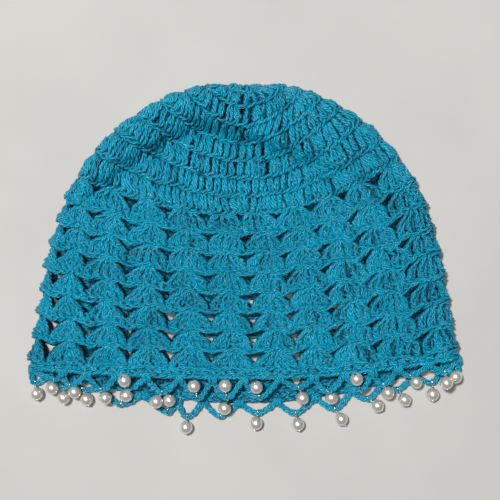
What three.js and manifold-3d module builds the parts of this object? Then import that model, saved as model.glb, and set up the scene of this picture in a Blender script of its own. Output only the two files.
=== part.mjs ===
// A crochet beanie laid flat: eight rounds of double crochet in the crown, eight rounds of stacked fans,
// a plain band, and an edging of chain loops, each with a pearl on a small pin.
// Millimetres, +Z up, the back layer on the z = 0 plane, the crown towards +Y and the hem towards -Y.
import * as THREE from 'three';
import { mergeVertices } from 'three/addons/utils/BufferGeometryUtils.js';
import Module from 'manifold-3d';

// Cloth
const FABRIC = 3.0; // thickness of the crocheted cloth
const SEAT = 0.3; // clearance between neighbouring pieces
const SLANT_ALLOWANCE = 1.5; // rounds that slant come nearer to each other than they do at the middle
const FOLD_RADIUS = 10.0; // plan width over which the cloth turns from one layer to the other
const FOLD_HEIGHT = 4.6; // height of the fold line above the table
const LAYER_HEIGHT = 13.5; // top of the upper layer over the flat part of the hat
const HEM_DIP = { depth: 1.9, startY: 0.0, endY: -62.0 }; // the upper layer sinks towards the hem
const BACK_DROP = { shift: 13.8, reach: 115.0 }; // the lower layer lies flatter, so its rounds lie lower

// Outline seen from above: half a superellipse over a wall that flares towards the hem
const CROWN_TOP = 104.6;
const DOME = { halfWidth: 116.7, baseY: -12.4, rise: 119.0, power: 2.06 };
const FLARE = { width: 14.2, startY: 27.6, hemY: -66.8, power: 1.5 };
const OUTLINE_END = -96.0; // the outline is carried on past the hem, so that distances hold there
const OUTLINE_STEPS = { count: 90, crowding: 1.6 }; // more of its points near the crown's middle

// Raised rim of the crown: an arch of cloth that stands over the flatter middle
const RIM = { rise: 4.2, apexX: -24.0, apexY: 82.8, halfSpan: 55.0, drop: 30.0, power: 1.6, slope: 3.4 };
const RIM_FADE = { lowY: 28.0, highY: 56.0, rightX: 16.0, farRightX: 66.0, rightShare: 0.45 };
const CREASE = { depth: 1.3, inset: 4.2, width: 3.2 };

// Rounds: where each one crosses the fold line left and right of the crown's centre, measured along
// the outline, and how far below the crown it lies on the middle of the upper layer
const ROUNDS = [
  { round: 0, left: 0, right: 0, drop: 0 },
  { round: 1, left: 12.6, right: 12.9, drop: 6.4 },
  { round: 2, left: 25.2, right: 25.8, drop: 14.8 },
  { round: 3, left: 37.2, right: 35.6, drop: 26.6 },
  { round: 4, left: 53.4, right: 48.0, drop: 36.4 },
  { round: 5, left: 70.2, right: 61.8, drop: 47.0 },
  { round: 6, left: 86.4, right: 76.8, drop: 57.8 },
  { round: 7, left: 103.8, right: 93.0, drop: 68.6 },
  { round: 8, left: 122.4, right: 109.2, drop: 78.8 },
  { round: 16, left: 237.2, right: 230.6, drop: 172.4 },
  { round: 17, left: 241.6, right: 235.0, drop: 176.9 },
];
const CROWN_END = 8;
const WALL_END = 16;
const BAND_END = 17;

// Gaps between the fans, cut through in the lower rounds of the wall
const FANS = 20;
const GAP = { firstRound: 10, top: 0.12, bottom: 0.64, topShare: 0.0068, bottomShare: 0.0021 };
const GAP_SHIFT = 0.005; // both layers' gaps sit a little nearer the left fold than the right one
const FOLD_COLUMN = 0.015; // one more column of vertices on both sides of the right fold

// Lace and pearls
const CHAIN_RADIUS = 1.1;
const CHAIN_SIDES = 5;
const CHAIN_FLAT = 1.7; // half of the straight stretch at a loop's tip
const HEM_SPACE = 1.25 * CHAIN_RADIUS + SEAT; // from the hem down to the chain's middle
const LEG_BOW = { share: 0.55, width: 1.19 }; // where a loop's leg bows outwards, and how far
const MITRE_LIMIT = 0.8; // keeps the chain from growing wide in a sharp turn
const SAMPLE_STEP = 1.5; // spacing of the chain's points that a pearl can rest on
const UPPER_LACE_SAG = 1.6; // how much a loop's tip hangs below its anchors on the upper layer
const LOWER_LACE = { anchor: 1.7, tip: 2.5 }; // heights of the lower layer's chain
const PEARL_RADIUS = 4.0;
const EYE_HALF_WIDTH = 2.15; // centreline of the pin's eye, across its length
const EYE_SEAT = 0.6; // clearance between the chain and the eye's far end
const WIRE_RADIUS = 0.3;
const WIRE_IN_PEARL = 0.5; // how far the eye's lower end is sunk in the pearl
const WIRE_FACETS = { around: 5, along: 10 };
const PEARL_FACETS = { around: 10, high: 5 };
const MERGE_DISTANCE = 1e-4;

// Loops of the edging from left to right: the tip of the loop and the middle of its pearl, from above
const UPPER_LOOPS = [
  { tip: [-115.3, -73.2], pearl: [-116.9, -78.8] },
  { tip: [-105.2, -76.4], pearl: [-103.2, -81.2] },
  { tip: [-86.5, -79.2], pearl: [-84.6, -84.7] },
  { tip: [-69.4, -78.0], pearl: [-72.2, -73.3] },
  { tip: [-50.2, -80.7], pearl: [-53.5, -86.6] },
  { tip: [-28.6, -84.3], pearl: [-30.8, -77.0] },
  { tip: [-11.2, -84.0], pearl: [-12.1, -76.7] },
  { tip: [8.9, -84.0], pearl: [6.7, -77.6] },
  { tip: [32.6, -78.0], pearl: [34.7, -84.8] },
  { tip: [50.0, -80.4], pearl: [52.3, -84.8] },
  { tip: [69.5, -79.2], pearl: [66.8, -72.5] },
  { tip: [83.6, -76.2], pearl: [86.5, -81.7] },
  { tip: [100.1, -70.8], pearl: [103.6, -75.2] },
  { tip: [120.4, -69.0], pearl: [121.1, -75.2] },
];
const LOWER_LOOPS = [
  { tip: [-127.9, -75.6], pearl: [-126.8, -82.5] },
  { tip: [-110.8, -78.6], pearl: [-110.3, -85.0] },
  { tip: [-99.1, -79.8], pearl: [-96.5, -85.9] },
  { tip: [-76.6, -88.8], pearl: [-72.1, -83.4] },
  { tip: [-47.8, -93.6], pearl: [-46.0, -86.2] },
  { tip: [-35.5, -96.3], pearl: [-36.0, -103.0] },
  { tip: [-15.7, -96.0], pearl: [-12.4, -91.1] },
  { tip: [7.7, -94.2], pearl: [6.5, -100.6] },
  { tip: [30.5, -94.2], pearl: [32.0, -101.2] },
  { tip: [54.5, -91.5], pearl: [58.4, -98.0] },
  { tip: [74.6, -85.5], pearl: [80.4, -89.9] },
  { tip: [92.9, -80.1], pearl: [96.9, -86.3] },
  { tip: [113.7, -75.6], pearl: [113.9, -83.0] },
  { tip: [128.3, -68.4], pearl: [127.3, -72.0] },
];

const YARN = new THREE.MeshStandardMaterial({ color: '#117d9b', roughness: 0.9, metalness: 0.0 });
const PEARL = new THREE.MeshStandardMaterial({ color: '#e9e3d8', roughness: 0.25, metalness: 0.0 });

const clamp01 = (value) => Math.min(1, Math.max(0, value));
const mix = (a, b, t) => a + (b - a) * t;
const smoothstep = (low, high, value) => {
  const t = clamp01((value - low) / (high - low));
  return t * t * (3 - 2 * t);
};

// Outline

function halfWidth(y) {
  const t = clamp01((y - DOME.baseY) / DOME.rise);
  const dome = DOME.halfWidth * (1 - t ** DOME.power) ** (1 / DOME.power);
  const flare = clamp01((FLARE.startY - y) / (FLARE.startY - FLARE.hemY));
  return dome + FLARE.width * flare ** FLARE.power;
}

function outlineHalf() {
  const crownHalf = halfWidth(CROWN_TOP);
  const points = [0, 0.5].map((t) => [crownHalf * t, CROWN_TOP]);
  for (let i = 0; i <= OUTLINE_STEPS.count; i += 1) {
    const share = (i / OUTLINE_STEPS.count) ** OUTLINE_STEPS.crowding;
    const y = CROWN_TOP - (CROWN_TOP - OUTLINE_END) * share;
    points.push([halfWidth(Math.max(y, FLARE.hemY)), y]);
  }
  return points;
}

const OUTLINE = outlineHalf();
const OUTLINE_LENGTHS = OUTLINE.reduce((sums, point, i) => {
  const step = i ? Math.hypot(point[0] - OUTLINE[i - 1][0], point[1] - OUTLINE[i - 1][1]) : 0;
  return [...sums, (i ? sums[i - 1] : 0) + step];
}, []);

// The point of the outline at a given length from the crown's centre, set in by `inset`
function outlinePoint(reach, side, inset) {
  let i = 1;
  while (i < OUTLINE.length - 1 && OUTLINE_LENGTHS[i] < reach) i += 1;
  const [ax, ay] = OUTLINE[i - 1];
  const [bx, by] = OUTLINE[i];
  const span = OUTLINE_LENGTHS[i] - OUTLINE_LENGTHS[i - 1];
  const t = (reach - OUTLINE_LENGTHS[i - 1]) / span;
  const inwardX = (by - ay) / span;
  const inwardY = -(bx - ax) / span;
  return [side * (mix(ax, bx, t) + inwardX * inset), mix(ay, by, t) + inwardY * inset];
}

function outlineDistance(x, y) {
  let nearest = Infinity;
  for (let i = 1; i < OUTLINE.length; i += 1) {
    const [ax, ay] = OUTLINE[i - 1];
    const [bx, by] = OUTLINE[i];
    const dx = bx - ax;
    const dy = by - ay;
    const t = clamp01(((Math.abs(x) - ax) * dx + (y - ay) * dy) / (dx * dx + dy * dy));
    nearest = Math.min(nearest, Math.hypot(Math.abs(x) - ax - t * dx, y - ay - t * dy));
  }
  return nearest;
}

// Heights of the two layers

function upperHeight(x, y) {
  const reach = Math.abs(x - RIM.apexX) / RIM.halfSpan;
  const archY = RIM.apexY - RIM.drop * reach ** RIM.power;
  const steepness = (RIM.drop * RIM.power * reach ** (RIM.power - 1)) / RIM.halfSpan;
  const outside = (y - archY) / Math.hypot(1, steepness);
  const fade = smoothstep(RIM_FADE.lowY, RIM_FADE.highY, y)
    * mix(1, RIM_FADE.rightShare, smoothstep(RIM_FADE.rightX, RIM_FADE.farRightX, x));
  const crease = CREASE.depth * Math.exp(-(((outside + CREASE.inset) / CREASE.width) ** 2));
  const dip = HEM_DIP.depth * smoothstep(-HEM_DIP.startY, -HEM_DIP.endY, -y);
  return LAYER_HEIGHT - dip + fade * (RIM.rise * smoothstep(-RIM.slope, RIM.slope, outside) - crease);
}

function layerHeight(x, y, depth, upper) {
  const turn = clamp01((outlineDistance(x, y) - depth) / (FOLD_RADIUS - depth));
  const rise = Math.sqrt(1 - (1 - turn) ** 2);
  if (upper) return mix(FOLD_HEIGHT, upperHeight(x, y) - depth, rise);
  return mix(FOLD_HEIGHT, depth, rise);
}

// Rounds of the hat as closed loops, upper layer left to right and back along the lower layer

function roundAt(value) {
  const next = ROUNDS.findIndex((row) => row.round >= value);
  const b = ROUNDS[Math.max(next, 1)];
  const a = ROUNDS[Math.max(next, 1) - 1];
  const t = (value - a.round) / (b.round - a.round);
  return { left: mix(a.left, b.left, t), right: mix(a.right, b.right, t), drop: mix(a.drop, b.drop, t) };
}

// A point of a round: `along` runs from 0 at the left fold to 1 at the right fold
function roundPoint(value, along, depth, upper) {
  const row = roundAt(value);
  const [leftX, leftY] = outlinePoint(row.left, -1, depth);
  const [rightX, rightY] = outlinePoint(row.right, 1, depth);
  const x = mix(leftX, rightX, along);
  const endX = x < 0 ? leftX : rightX;
  const endY = x < 0 ? leftY : rightY;
  const lower = upper ? 0 : BACK_DROP.shift * smoothstep(0, BACK_DROP.reach, row.drop);
  const midY = CROWN_TOP - Math.max(depth, row.drop + lower);
  const y = mix(midY, endY, endX === 0 ? 0 : (x / endX) ** 2);
  return new THREE.Vector3(x, y, layerHeight(x, y, depth, upper));
}

const SAMPLES = 160;
const easeEnds = (i) => 0.5 - 0.5 * Math.cos((Math.PI * i) / SAMPLES);

// For each share of a layer's length along a round, the value of `along` that reaches it
function alongForShares(value, upper, shares) {
  const lengths = [0];
  let last = roundPoint(value, 0, FABRIC / 2, upper);
  for (let i = 1; i <= SAMPLES; i += 1) {
    const point = roundPoint(value, easeEnds(i), FABRIC / 2, upper);
    lengths.push(lengths[i - 1] + point.distanceTo(last));
    last = point;
  }
  return shares.map((share) => {
    const wanted = clamp01(share) * lengths[SAMPLES];
    let i = 1;
    while (i < SAMPLES && lengths[i] < wanted) i += 1;
    const t = (wanted - lengths[i - 1]) / (lengths[i] - lengths[i - 1] || 1);
    return mix(easeEnds(i - 1), easeEnds(i), t);
  });
}

// Loop of points of a round at the given shares of the whole turn (0 left fold, 0.5 right fold)
function roundLoop(value, shares, depth) {
  const upperShares = shares.filter((share) => share < 0.5);
  const lowerShares = shares.filter((share) => share >= 0.5);
  const upper = alongForShares(value, true, upperShares.map((share) => share * 2));
  const lower = alongForShares(value, false, lowerShares.map((share) => 2 - share * 2));
  return [
    ...upper.map((along) => roundPoint(value, along, depth, true)),
    ...lower.map((along) => roundPoint(value, along, depth, false)),
  ];
}

const gapMiddles = Array.from({ length: FANS }, (_, fan) => (
  (fan + 0.5) / FANS + (fan < FANS / 2 ? -GAP_SHIFT : GAP_SHIFT)
));

// Columns of vertices: both sides of each gap, the two folds and the columns beside the right fold
function columns(gapShare) {
  const shares = [0, 0.5 - FOLD_COLUMN, 0.5, 0.5 + FOLD_COLUMN];
  gapMiddles.forEach((middle) => shares.push(middle - gapShare, middle + gapShare));
  return shares.sort((a, b) => a - b);
}

const PLAIN_COLUMNS = columns((GAP.topShare + GAP.bottomShare) / 2);
const isGapColumn = (column) => {
  const middle = (PLAIN_COLUMNS[column] + (PLAIN_COLUMNS[column + 1] ?? 1)) / 2;
  return gapMiddles.some((share) => Math.abs(share - middle) < GAP.bottomShare);
};

// Meshes

class SolidBuilder {
  constructor() {
    this.positions = [];
    this.triangles = [];
  }

  addPoints(points) {
    const first = this.positions.length / 3;
    points.forEach((point) => this.positions.push(point.x, point.y, point.z));
    return points.map((_, i) => first + i);
  }

  addQuad(a, b, c, d) {
    this.triangles.push(a, b, c, a, c, d);
  }

  geometry() {
    const geometry = new THREE.BufferGeometry();
    geometry.setAttribute('position', new THREE.Float32BufferAttribute(this.positions, 3));
    geometry.setIndex(this.triangles);
    geometry.computeVertexNormals();
    return geometry;
  }
}

// Skin between two loops, of which the lower one may have twice as many points as the upper one
function addStrip(solid, upper, lower, outward, skip = () => false) {
  const n = upper.length;
  const halved = lower.length === 2 * n;
  const add = (a, b, c) => solid.triangles.push(...(outward ? [a, b, c] : [a, c, b]));
  for (let j = 0; j < n; j += 1) {
    const k = (j + 1) % n;
    if (halved) {
      const low = [lower[2 * j], lower[2 * j + 1], lower[(2 * j + 2) % lower.length]];
      add(upper[j], low[0], low[1]);
      add(upper[j], low[1], upper[k]);
      add(upper[k], low[1], low[2]);
    } else if (!skip(j)) {
      add(upper[j], lower[j], upper[k]);
      add(lower[j], lower[k], upper[k]);
    }
  }
}

function addPole(solid, pole, loop, outward) {
  loop.forEach((point, j) => {
    const next = loop[(j + 1) % loop.length];
    solid.triangles.push(...(outward ? [pole, point, next] : [pole, next, point]));
  });
}

function addRim(solid, outer, inner, atTop) {
  outer.forEach((a, j) => {
    const k = (j + 1) % outer.length;
    if (atTop) solid.addQuad(a, outer[k], inner[k], inner[j]);
    else solid.addQuad(outer[k], a, inner[j], inner[k]);
  });
}

// Cloth between rounds, with both skins, closed at its first and last round
function clothSolid(levels) {
  const solid = new SolidBuilder();
  const skins = [0, FABRIC].map((depth) => levels.map(({ value, shares }) => (
    value === 0
      ? solid.addPoints([roundPoint(0, 0.5, depth, true)])
      : solid.addPoints(roundLoop(value, shares, depth))
  )));
  for (let i = 1; i < levels.length; i += 1) {
    const skip = (j) => Boolean(levels[i - 1].gaps) && isGapColumn(j);
    skins.forEach((loops, skin) => {
      if (loops[i - 1].length === 1) addPole(solid, loops[0][0], loops[1], skin === 0);
      else addStrip(solid, loops[i - 1], loops[i], skin === 0, skip);
    });
    if (levels[i - 1].gaps) addGapWalls(solid, skins.map((loops) => [loops[i - 1], loops[i]]));
  }
  const [outer, inner] = skins;
  if (outer[0].length > 1) addRim(solid, outer[0], inner[0], true);
  addRim(solid, outer.at(-1), inner.at(-1), false);
  return solid.geometry();
}

function addGapWalls(solid, [[outerTop, outerLow], [innerTop, innerLow]]) {
  outerTop.forEach((_, j) => {
    if (!isGapColumn(j)) return;
    const k = (j + 1) % outerTop.length;
    const outer = [outerTop[j], outerLow[j], outerLow[k], outerTop[k]];
    const inner = [innerTop[j], innerLow[j], innerLow[k], innerTop[k]];
    outer.forEach((a, side) => {
      const next = (side + 1) % 4;
      solid.addQuad(a, outer[next], inner[next], inner[side]);
    });
  });
}

// Cloth pieces

// The round just past a seam, which leaves the clearance between two pieces of cloth also where rounds slant
function pastSeam(seam) {
  const next = ROUNDS.find((row) => row.round > seam);
  const spacing = (next.drop - roundAt(seam).drop) / (next.round - seam);
  return seam + (SLANT_ALLOWANCE * SEAT) / spacing;
}

const everySecond = PLAIN_COLUMNS.filter((_, i) => i % 2 === 0);

function crownGeometry() {
  const inner = [0, 0.5, 1, 2, 3, 4, 5].map((value) => ({ value, shares: everySecond }));
  const outer = [6, 7, CROWN_END].map((value) => ({ value, shares: PLAIN_COLUMNS }));
  return clothSolid([...inner, ...outer]);
}

function wallGeometry() {
  const levels = [{ value: pastSeam(CROWN_END), shares: PLAIN_COLUMNS }];
  for (let round = CROWN_END + 1; round <= GAP.firstRound; round += 1) {
    levels.push({ value: round, shares: PLAIN_COLUMNS });
  }
  for (let round = GAP.firstRound; round < WALL_END; round += 1) {
    levels.push({ value: round + GAP.top, shares: columns(GAP.topShare), gaps: true });
    levels.push({ value: round + GAP.bottom, shares: columns(GAP.bottomShare) });
  }
  levels.push({ value: WALL_END, shares: PLAIN_COLUMNS });
  return clothSolid(levels);
}

function bandGeometry() {
  return clothSolid([pastSeam(WALL_END), BAND_END].map((value) => ({ value, shares: PLAIN_COLUMNS })));
}

// Lace: one chain that runs from loop to loop, along the upper layer and back along the lower one

function hemPoint(x, upper, depth = FABRIC / 2) {
  const row = roundAt(BAND_END);
  const [leftX] = outlinePoint(row.left, -1, depth);
  const [rightX] = outlinePoint(row.right, 1, depth);
  return roundPoint(BAND_END, clamp01((x - leftX) / (rightX - leftX)), depth, upper);
}

function anchorBetween(a, b, upper) {
  const point = hemPoint((a.tip[0] + b.tip[0]) / 2, upper);
  const z = upper ? point.z : LOWER_LACE.anchor;
  return new THREE.Vector3(point.x, point.y - HEM_SPACE, z);
}

function foldAnchor(side) {
  const row = roundAt(BAND_END);
  const [x, y] = outlinePoint(side < 0 ? row.left : row.right, side, FABRIC / 2);
  return new THREE.Vector3(x, y - HEM_SPACE - SEAT, FOLD_HEIGHT);
}

function tipHeight(loop, upper) {
  if (!upper) return LOWER_LACE.tip;
  return hemPoint(loop.tip[0], true).z - UPPER_LACE_SAG;
}

// Points of one loop between two anchors: two legs that bow outwards and a straight tip
function loopPoints(start, loop, end, upper) {
  const tip = new THREE.Vector3(loop.tip[0], loop.tip[1], tipHeight(loop, upper));
  const across = new THREE.Vector3().subVectors(end, start).setZ(0).normalize();
  const leg = (anchor, sign) => {
    const point = new THREE.Vector3().lerpVectors(anchor, tip, LEG_BOW.share);
    return point.addScaledVector(across, sign * LEG_BOW.width);
  };
  return [
    leg(start, -1),
    tip.clone().addScaledVector(across, -CHAIN_FLAT),
    tip.clone().addScaledVector(across, CHAIN_FLAT),
    leg(end, 1),
  ];
}

function lacePath() {
  const points = [];
  const tips = [];
  const runLayer = (loops, first, last, upper) => {
    let start = first;
    loops.forEach((loop, i) => {
      const end = i === loops.length - 1 ? last : anchorBetween(loop, loops[i + 1], upper);
      const middle = loopPoints(start, loop, end, upper);
      points.push(start, ...middle);
      tips.push({
        centre: new THREE.Vector3().addVectors(middle[1], middle[2]).multiplyScalar(0.5),
        along: new THREE.Vector3().subVectors(middle[2], middle[1]).normalize(),
      });
      start = end;
    });
  };
  const left = foldAnchor(-1);
  const right = foldAnchor(1);
  runLayer(UPPER_LOOPS, left, right, true);
  runLayer([...LOWER_LOOPS].reverse(), right, left, false);
  const upperTips = tips.slice(0, UPPER_LOOPS.length);
  const lowerTips = tips.slice(UPPER_LOOPS.length).reverse();
  return { points, upperTips, lowerTips };
}

function tubeGeometry(path, radius, sides) {
  const solid = new SolidBuilder();
  const vertical = new THREE.Vector3(0, 0, 1);
  const loops = path.map((point, i) => {
    const before = new THREE.Vector3().subVectors(point, path.at(i - 1)).normalize();
    const after = new THREE.Vector3().subVectors(path[(i + 1) % path.length], point).normalize();
    const tangent = new THREE.Vector3().addVectors(before, after).normalize();
    const side = new THREE.Vector3().crossVectors(vertical, tangent).normalize();
    const up = new THREE.Vector3().crossVectors(tangent, side);
    const mitre = 1 / Math.max(MITRE_LIMIT, before.dot(tangent));
    return solid.addPoints(Array.from({ length: sides }, (_, k) => {
      const angle = (2 * Math.PI * k) / sides + Math.PI / 2;
      return point.clone()
        .addScaledVector(side, radius * mitre * Math.cos(angle))
        .addScaledVector(up, radius * Math.sin(angle));
    }));
  });
  loops.forEach((loop, i) => addStrip(solid, loop, loops[(i + 1) % loops.length], false));
  return solid.geometry();
}

// Pearls

// Height at which a pearl comes to rest over points with a radius of their own
function restHeight([x, y], points, radius) {
  const reach = PEARL_RADIUS + SEAT + radius;
  return points.reduce((highest, point) => {
    const away = Math.hypot(point.x - x, point.y - y);
    return away < reach ? Math.max(highest, point.z + Math.sqrt(reach ** 2 - away ** 2)) : highest;
  }, PEARL_RADIUS);
}

function segmentPoints(path, step) {
  return path.flatMap((point, i) => {
    const next = path[(i + 1) % path.length];
    const count = Math.ceil(point.distanceTo(next) / step);
    return Array.from({ length: count }, (_, k) => new THREE.Vector3().lerpVectors(point, next, k / count));
  });
}

// Points of a layer's top side near a place; past the hem they stop at its edge
function clothPoints([x, y], upper) {
  const reach = Math.ceil(PEARL_RADIUS);
  const offsets = Array.from({ length: 2 * reach + 1 }, (_, i) => i - reach);
  return offsets.flatMap((dx) => {
    const edge = hemPoint(x + dx, upper, 0).y - SEAT;
    return offsets.map((dy) => {
      const py = Math.max(y + dy, edge);
      return new THREE.Vector3(x + dx, py, upper ? upperHeight(x + dx, py) : FABRIC);
    });
  });
}

async function makeUnion() {
  const wasm = await Module();
  wasm.setup();
  const toSolid = (source) => {
    const bare = source.clone();
    bare.deleteAttribute('normal');
    bare.deleteAttribute('uv');
    const merged = mergeVertices(bare, MERGE_DISTANCE);
    return new wasm.Manifold(new wasm.Mesh({
      numProp: 3,
      vertProperties: new Float32Array(merged.attributes.position.array),
      triVerts: new Uint32Array(merged.index.array),
    }));
  };
  return (geometries) => {
    const solid = geometries.map(toSolid).reduce((a, b) => a.add(b));
    const mesh = solid.getMesh();
    const geometry = new THREE.BufferGeometry();
    geometry.setAttribute('position', new THREE.BufferAttribute(mesh.vertProperties, 3));
    geometry.setIndex(new THREE.BufferAttribute(mesh.triVerts, 1));
    geometry.computeVertexNormals();
    return geometry;
  };
}

const union = await makeUnion();

// A pearl with the long eye of its pin, which goes round the chain at a loop's tip
function pearlGeometry(tip, centre) {
  const toPearl = new THREE.Vector3().subVectors(centre, tip.centre);
  const away = toPearl.length();
  const direction = toPearl.normalize();
  const across = new THREE.Vector3().crossVectors(tip.along, direction);
  const slant = across.length();
  const behindTip = CHAIN_RADIUS / slant + EYE_SEAT + WIRE_RADIUS;
  const halfLength = (away - PEARL_RADIUS + WIRE_IN_PEARL + behindTip) / 2;
  const eyeCentre = tip.centre.clone().addScaledVector(direction, halfLength - behindTip);
  const normal = new THREE.Vector3().crossVectors(direction, across).normalize();
  const eye = new THREE.TorusGeometry(EYE_HALF_WIDTH, WIRE_RADIUS, WIRE_FACETS.around, WIRE_FACETS.along);
  eye.scale(halfLength / EYE_HALF_WIDTH, 1, 1);
  const turn = new THREE.Matrix4().makeBasis(direction, across.normalize(), normal);
  eye.applyMatrix4(turn.setPosition(eyeCentre));
  const pearl = new THREE.SphereGeometry(PEARL_RADIUS, PEARL_FACETS.around, PEARL_FACETS.high);
  pearl.rotateX(Math.PI / 2);
  pearl.translate(centre.x, centre.y, centre.z);
  return union([pearl, eye]);
}

// Assembly

const beanie = new THREE.Group();
beanie.name = 'crochet_beanie';

function addPiece(name, geometry, material) {
  const mesh = new THREE.Mesh(geometry, material);
  mesh.name = name;
  beanie.add(mesh);
}

addPiece('crown', crownGeometry(), YARN);
addPiece('shell_wall', wallGeometry(), YARN);
addPiece('brim_band', bandGeometry(), YARN);

const lace = lacePath();
addPiece('lace_edging', tubeGeometry(lace.points, CHAIN_RADIUS, CHAIN_SIDES), YARN);

const laceSamples = segmentPoints(lace.points, SAMPLE_STEP);
const upperLace = laceSamples.filter((point) => point.z > LAYER_HEIGHT / 2);
const lowerLace = laceSamples.filter((point) => point.z <= LAYER_HEIGHT / 2);
const placed = [];

function settle(loop, upper) {
  const [x, y] = loop.pearl;
  const heights = [
    restHeight(loop.pearl, clothPoints(loop.pearl, false), 0),
    restHeight(loop.pearl, lowerLace, CHAIN_RADIUS),
    restHeight(loop.pearl, placed, PEARL_RADIUS),
  ];
  if (upper && y > loop.tip[1]) {
    heights.push(restHeight(loop.pearl, clothPoints(loop.pearl, true), 0));
    heights.push(restHeight(loop.pearl, upperLace, CHAIN_RADIUS));
  }
  const centre = new THREE.Vector3(x, y, Math.max(...heights));
  placed.push(centre);
  return centre;
}

function addPearls(loops, tips, upper, label) {
  loops.forEach((loop, i) => {
    const name = `pearl_${label}_${String(i + 1).padStart(2, '0')}`;
    addPiece(name, pearlGeometry(tips[i], settle(loop, upper)), PEARL);
  });
}

addPearls(LOWER_LOOPS, lace.lowerTips, false, 'back');
addPearls(UPPER_LOOPS, lace.upperTips, true, 'front');

export default beanie;
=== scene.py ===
"""A crocheted beanie laid flat, with a lace hem whose loops carry pearls on small pins.

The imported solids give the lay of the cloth. This scene works out the same lay and sets every stitch on
it as yarn: double crochet in the crown, fans in the wall, single crochet in the band, chain stitches in
the lace. Everything is in metres, +Z up, with the crown towards +Y and the back layer on z = 0.
"""
import logging
from collections.abc import Callable
from dataclasses import dataclass, field
from enum import Enum
from math import pi

import bpy
import numpy as np
from mathutils import Matrix, Vector


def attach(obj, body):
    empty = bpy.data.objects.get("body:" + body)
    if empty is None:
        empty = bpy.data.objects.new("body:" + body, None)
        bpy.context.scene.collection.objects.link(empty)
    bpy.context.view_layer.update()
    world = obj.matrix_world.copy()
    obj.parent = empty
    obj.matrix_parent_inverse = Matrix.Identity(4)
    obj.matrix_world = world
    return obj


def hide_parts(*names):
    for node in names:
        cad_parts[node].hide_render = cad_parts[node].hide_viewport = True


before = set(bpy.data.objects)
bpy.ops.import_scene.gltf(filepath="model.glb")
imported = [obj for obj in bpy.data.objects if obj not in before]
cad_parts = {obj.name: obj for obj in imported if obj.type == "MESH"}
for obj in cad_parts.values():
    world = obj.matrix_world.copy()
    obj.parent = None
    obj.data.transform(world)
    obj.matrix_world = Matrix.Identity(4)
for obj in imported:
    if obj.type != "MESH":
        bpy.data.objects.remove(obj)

LOG = logging.getLogger("crochet_beanie")
FOLD_SHARE = 0.5
HEM_ROUND = 17.0
UP = (0.0, 0.0, 1.0)
Points = np.ndarray
Place = tuple[float, float, float]
Colour = tuple[float, float, float, float]
Value = float | tuple[float, ...] | bpy.types.NodeSocket


class Layer(Enum):
    """The two layers of the flattened hat."""

    FRONT = "front"
    BACK = "back"


# The lay of the cloth


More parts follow.
